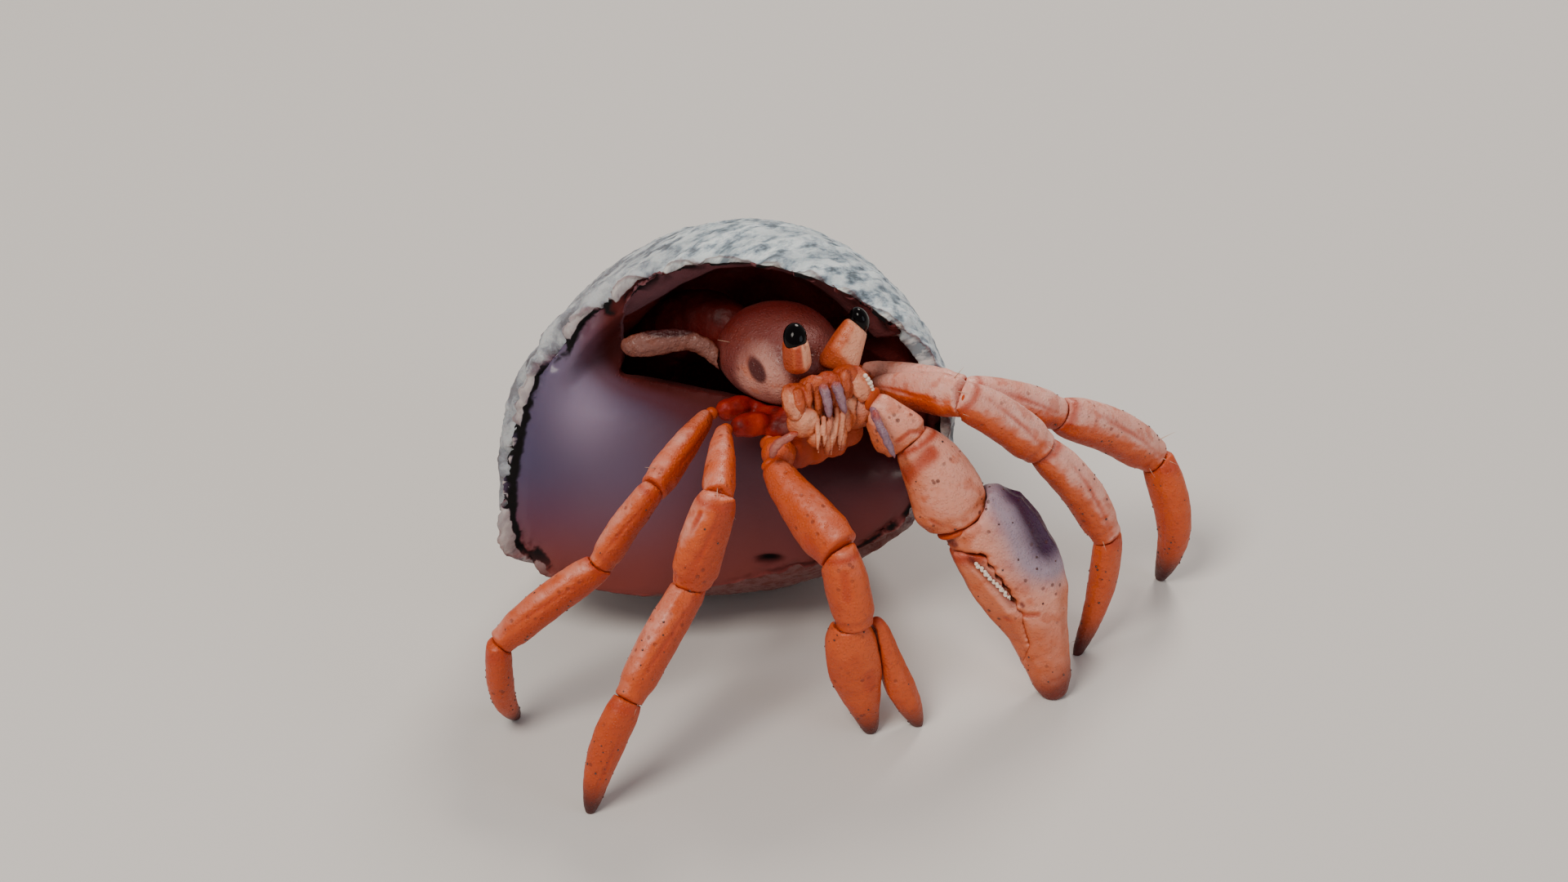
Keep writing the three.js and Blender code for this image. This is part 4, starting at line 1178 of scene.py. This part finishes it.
    # a painted highlight: a soft pale patch on the deck's left
    stretch = np.array((1.4, 1, 1))
    bloom = bell(awayFrom(points * stretch, placeIn("shell", v["bloomAt"]) * stretch), 0, v["bloomReach"])
    under = smoothStep(-np.sin(angle + 0.25), 0.0, 0.35) * smoothStep(depth, -5.0, -2.0)
    paint(mesh, outer=outer, pastLip=pastLip, onFace=onFace * (1 - outer), deck=level, edge=edge, band=band,
          bloom=bloom, bumps=bumps, cord=np.cos(cordPhase) * 0.5 + 0.5,
          cordPlace=polar / math.pi * v["cords"], spinX=np.cos(spin), spinY=np.sin(spin), left=leftness,
          notch=notchHere, under=under * smoothStep(points[:, 0], -14.0, -11.0))
    low, high = placeIn("shell", (0, 0, 0)), placeIn("shell", (1, 1, 1))
    paint(mesh, aside=(points[:, 0] - low[0]) / (high - low)[0], rise=points[:, 2] / high[2])
    return mesh


# Nerite shell: lime, worn chalky by sand outside, with a glossy glazed deck inside the mouth.
def shellMaterial():
    (material, add, outer, pastLip, onFace, deck, holeShadeHere, band, bloom, bumps, cord, cordPlace, spinX, spinY,
     left, notch, under, aside, rise) = newMaterial("worn nerite shell", (
         "outer", "pastLip", "onFace", "deck", "edge", "band", "bloom", "bumps", "cord", "cordPlace",
         "spinX", "spinY", "left", "notch", "under", "aside", "rise"))
    flecksAt = add("ShaderNodeCombineXYZ", {
        "X": add("times", cordPlace, 4.2), "Y": add("times", spinX, 9.0), "Z": add("times", spinY, 9.0)})
    streaks = add("ShaderNodeTexNoise", {"Vector": flecksAt, "Scale": 1.0, "Detail": 4.0, "Roughness": 0.6})
    fine = cloudsOf(add, 0.3, 5.0, 0.65)
    cloud = cloudsOf(add, 3.5)
    # outside: grey flecks on white chalk, dark brown towards the bottom, partly the margin's own brown and
    # partly painted shade
    chalk = add("ramp", streaks, stops=[(0.36, "#3E4C58"), (0.43, "#7E8E9C"), (0.49, "#BAC8D0"),
                                        (0.58, "#E8F2F4")])
    chalk = add("mix", add("times", fine, 0.3), chalk, "#A9B7BC")
    chalk = add("mix", add("times", add("minus", 1.0, cord, use_clamp=True), 0.3), chalk, "#7C8B95")
    chalk = add("mix", add("times", left, 0.45), chalk, "#8C7E80")
    # low: the dark brown towards the bottom and on the underside, partly the margin's own colour and partly
    # painted shade
    low = add("larger", add("ramp", rise, stops=[(0.14, 1.0), (0.42, 0.0)]), under)
    chalk = add("mix", add("times", low, 0.9), chalk, "#662A1E")
    lip = add("ramp", streaks, stops=[(0.38, "#7C8B92"), (0.48, "#B9C4C5"), (0.6, "#E6ECE8")])
    lip = add("mix", add("ramp", bumps, stops=[(0.1, 0.6), (0.5, 0.0)]), lip, "#56606A")
    lip = add("mix", add("times", left, 0.6), lip, "#947678")
    lip = add("mix", low, lip, "#662A1E")
    # inside: a lilac glaze on the deck, brown below and darkening to the right as painted shade under the
    # crab, with a painted highlight on its left, and a dull red wall behind it
    glaze = add("ramp", aside, stops=[(0.03, "#4A4464"), (0.25, "#65566E"), (0.45, "#5A343E"),
                                      (0.85, "#4E1E20")])
    glaze = add("mix", add("ramp", rise, stops=[(0.2, 1.0), (0.52, 0.0)]), glaze, "#7E3220")
    glaze = add("mix", add("times", cloud, 0.4), glaze, "#4E3048")
    # the painted highlight on the deck
    glaze = add("mix", add("times", bloom, 0.55), glaze, "#A292AA")
    inner = add("ramp", cloud, stops=[(0.3, "#7A2220"), (0.6, "#A43C38"), (0.8, "#B8625E")])
    colour = add("mix", deck, add("mix", outer, inner, chalk), glaze)
    # painted shade near the opening's edge
    edge = add("ramp", holeShadeHere, stops=[(0.0, 0.0), (0.35, 0.55), (0.9, 1.0)])
    colour = add("mix", edge, colour, add("ramp", holeShadeHere, stops=[(0.3, "#5A1614"), (0.85, "#4E0C0A")]))
    # the band: own mauve colour, partly painted light
    bandColour = add("ramp", aside, stops=[(0.3, "#8E6068"), (0.6, "#7A4A4E"), (0.95, "#8A4A4C")])
    colour = add("mix", band, colour, bandColour)
    # the lip, then a broken black line just inside it: painted shade in the gaps under the lip's scallops
    ragged = add("times", add("minus", cloudsOf(add, 0.5, 2.0), 0.5), 0.12)
    past = add("plus", pastLip, ragged)
    pastHalf = add("plus", past, 0.5)
    onLip = add("ramp", pastHalf, stops=[(0.46, 1.0), (0.52, 0.0)])
    line = add("times", add("ramp", pastHalf, stops=[(0.46, 0.0), (0.52, 1.0)]),
               add("ramp", past, stops=[(0.22, 1.0), (0.42, 0.0)]))
    broken = add("ramp", cloudsOf(add, 1.6, 1.0), stops=[(0.36, 0.15), (0.46, 1.0)])
    line = add("times", add("times", line, broken), onFace)
    colour = add("mix", add("times", onLip, onFace), colour, lip)
    colour = add("mix", line, colour, "#040102")
    # the notch's hollow painted black as shade
    colour = add("mix", notch, colour, "#040102")
    rough = add("ramp", deck, stops=[(0.2, 0.6), (0.9, 0.34)])
    for duller in (add("times", edge, 0.4), line, notch, add("times", low, 0.25)):
        rough = add("plus", rough, duller, use_clamp=True)
    height = add("times", add("plus", fine, add("times", streaks, 1.5)), add("minus", 1.1, deck))
    finishMaterial(add, colour, rough, height, 0.07, IOR=1.5, Subsurface_Weight=0.08,
                   Subsurface_Scale=0.4 * mm, Specular_IOR_Level=0.35)
    return material


finishPiece("shell_wall", buildShell(), shellMaterial(), ["shell"])
print("shell ready")


# floor, light and camera

stageValues = {
    "floor": 0.9, "world": 0.38,
    # each lamp's place from the middle of the crab, size, power and colour
    "lamps": {"key": ((-0.10, -0.13, 0.24), 0.12, 0.62, "#FFF6EC"),
              "fill": ((0.24, -0.12, 0.10), 0.16, 0.12, "#EAF0FF"),
              "back": ((0.06, 0.20, 0.20), 0.10, 0.42, "#FFF4EA")},
    "elevation": 35, "distance": 160, "lens": 83.33, "aimAside": (-2.94, -0.16, 1.37),
}
centre = (cadLow + cadHigh) / 2


def buildFloor():
    bm = bmesh.new()
    bmesh.ops.create_grid(bm, x_segments=1, y_segments=1, size=stageValues["floor"])
    floor = inScene("floor", meshFrom(bm, "floor"))
    material, add = newMaterial("pale paper floor")
    finishMaterial(add, "#D9D6D2", 0.8)
    floor.data.materials.append(material)


def addLights():
    for name, (place, size, power, colour) in stageValues["lamps"].items():
        lamp = bpy.data.lights.new(name, "AREA")
        lamp.shape = "DISK"
        lamp.size = size
        lamp.energy = power
        lamp.color = srgb(colour)[:3]
        holder = inScene(name, lamp)
        holder.location = centre + Vector(place)
        holder.rotation_euler = (centre - holder.location).to_track_quat("-Z", "Y").to_euler()
    world = bpy.data.worlds.new("studio")
    world.use_nodes = True
    background = world.node_tree.nodes["Background"]
    background.inputs["Color"].default_value = srgb("#EDEAE8")
    background.inputs["Strength"].default_value = stageValues["world"]
    bpy.context.scene.world = world


def addCamera():
    v = stageValues
    data = bpy.data.cameras.new("camera")
    data.lens = v["lens"]
    data.sensor_width = 36
    data.clip_start, data.clip_end = 0.005, 20
    camera = inScene("camera", data)
    rise = math.radians(v["elevation"])
    back = Vector((0, -math.cos(rise), math.sin(rise)))
    camera.location = centre + Vector(v["aimAside"]) * mm + back * v["distance"] * mm
    camera.rotation_euler = (-back).to_track_quat("-Z", "Y").to_euler()
    bpy.context.scene.camera = camera


buildFloor()
addLights()
addCamera()
for shape in (setaShape, beadShape, grainShape):
    bpy.data.objects.remove(shape)
print("triangles", sum(len(p.data.loop_triangles) or len(p.data.polygons) * 2 for p in madePieces))
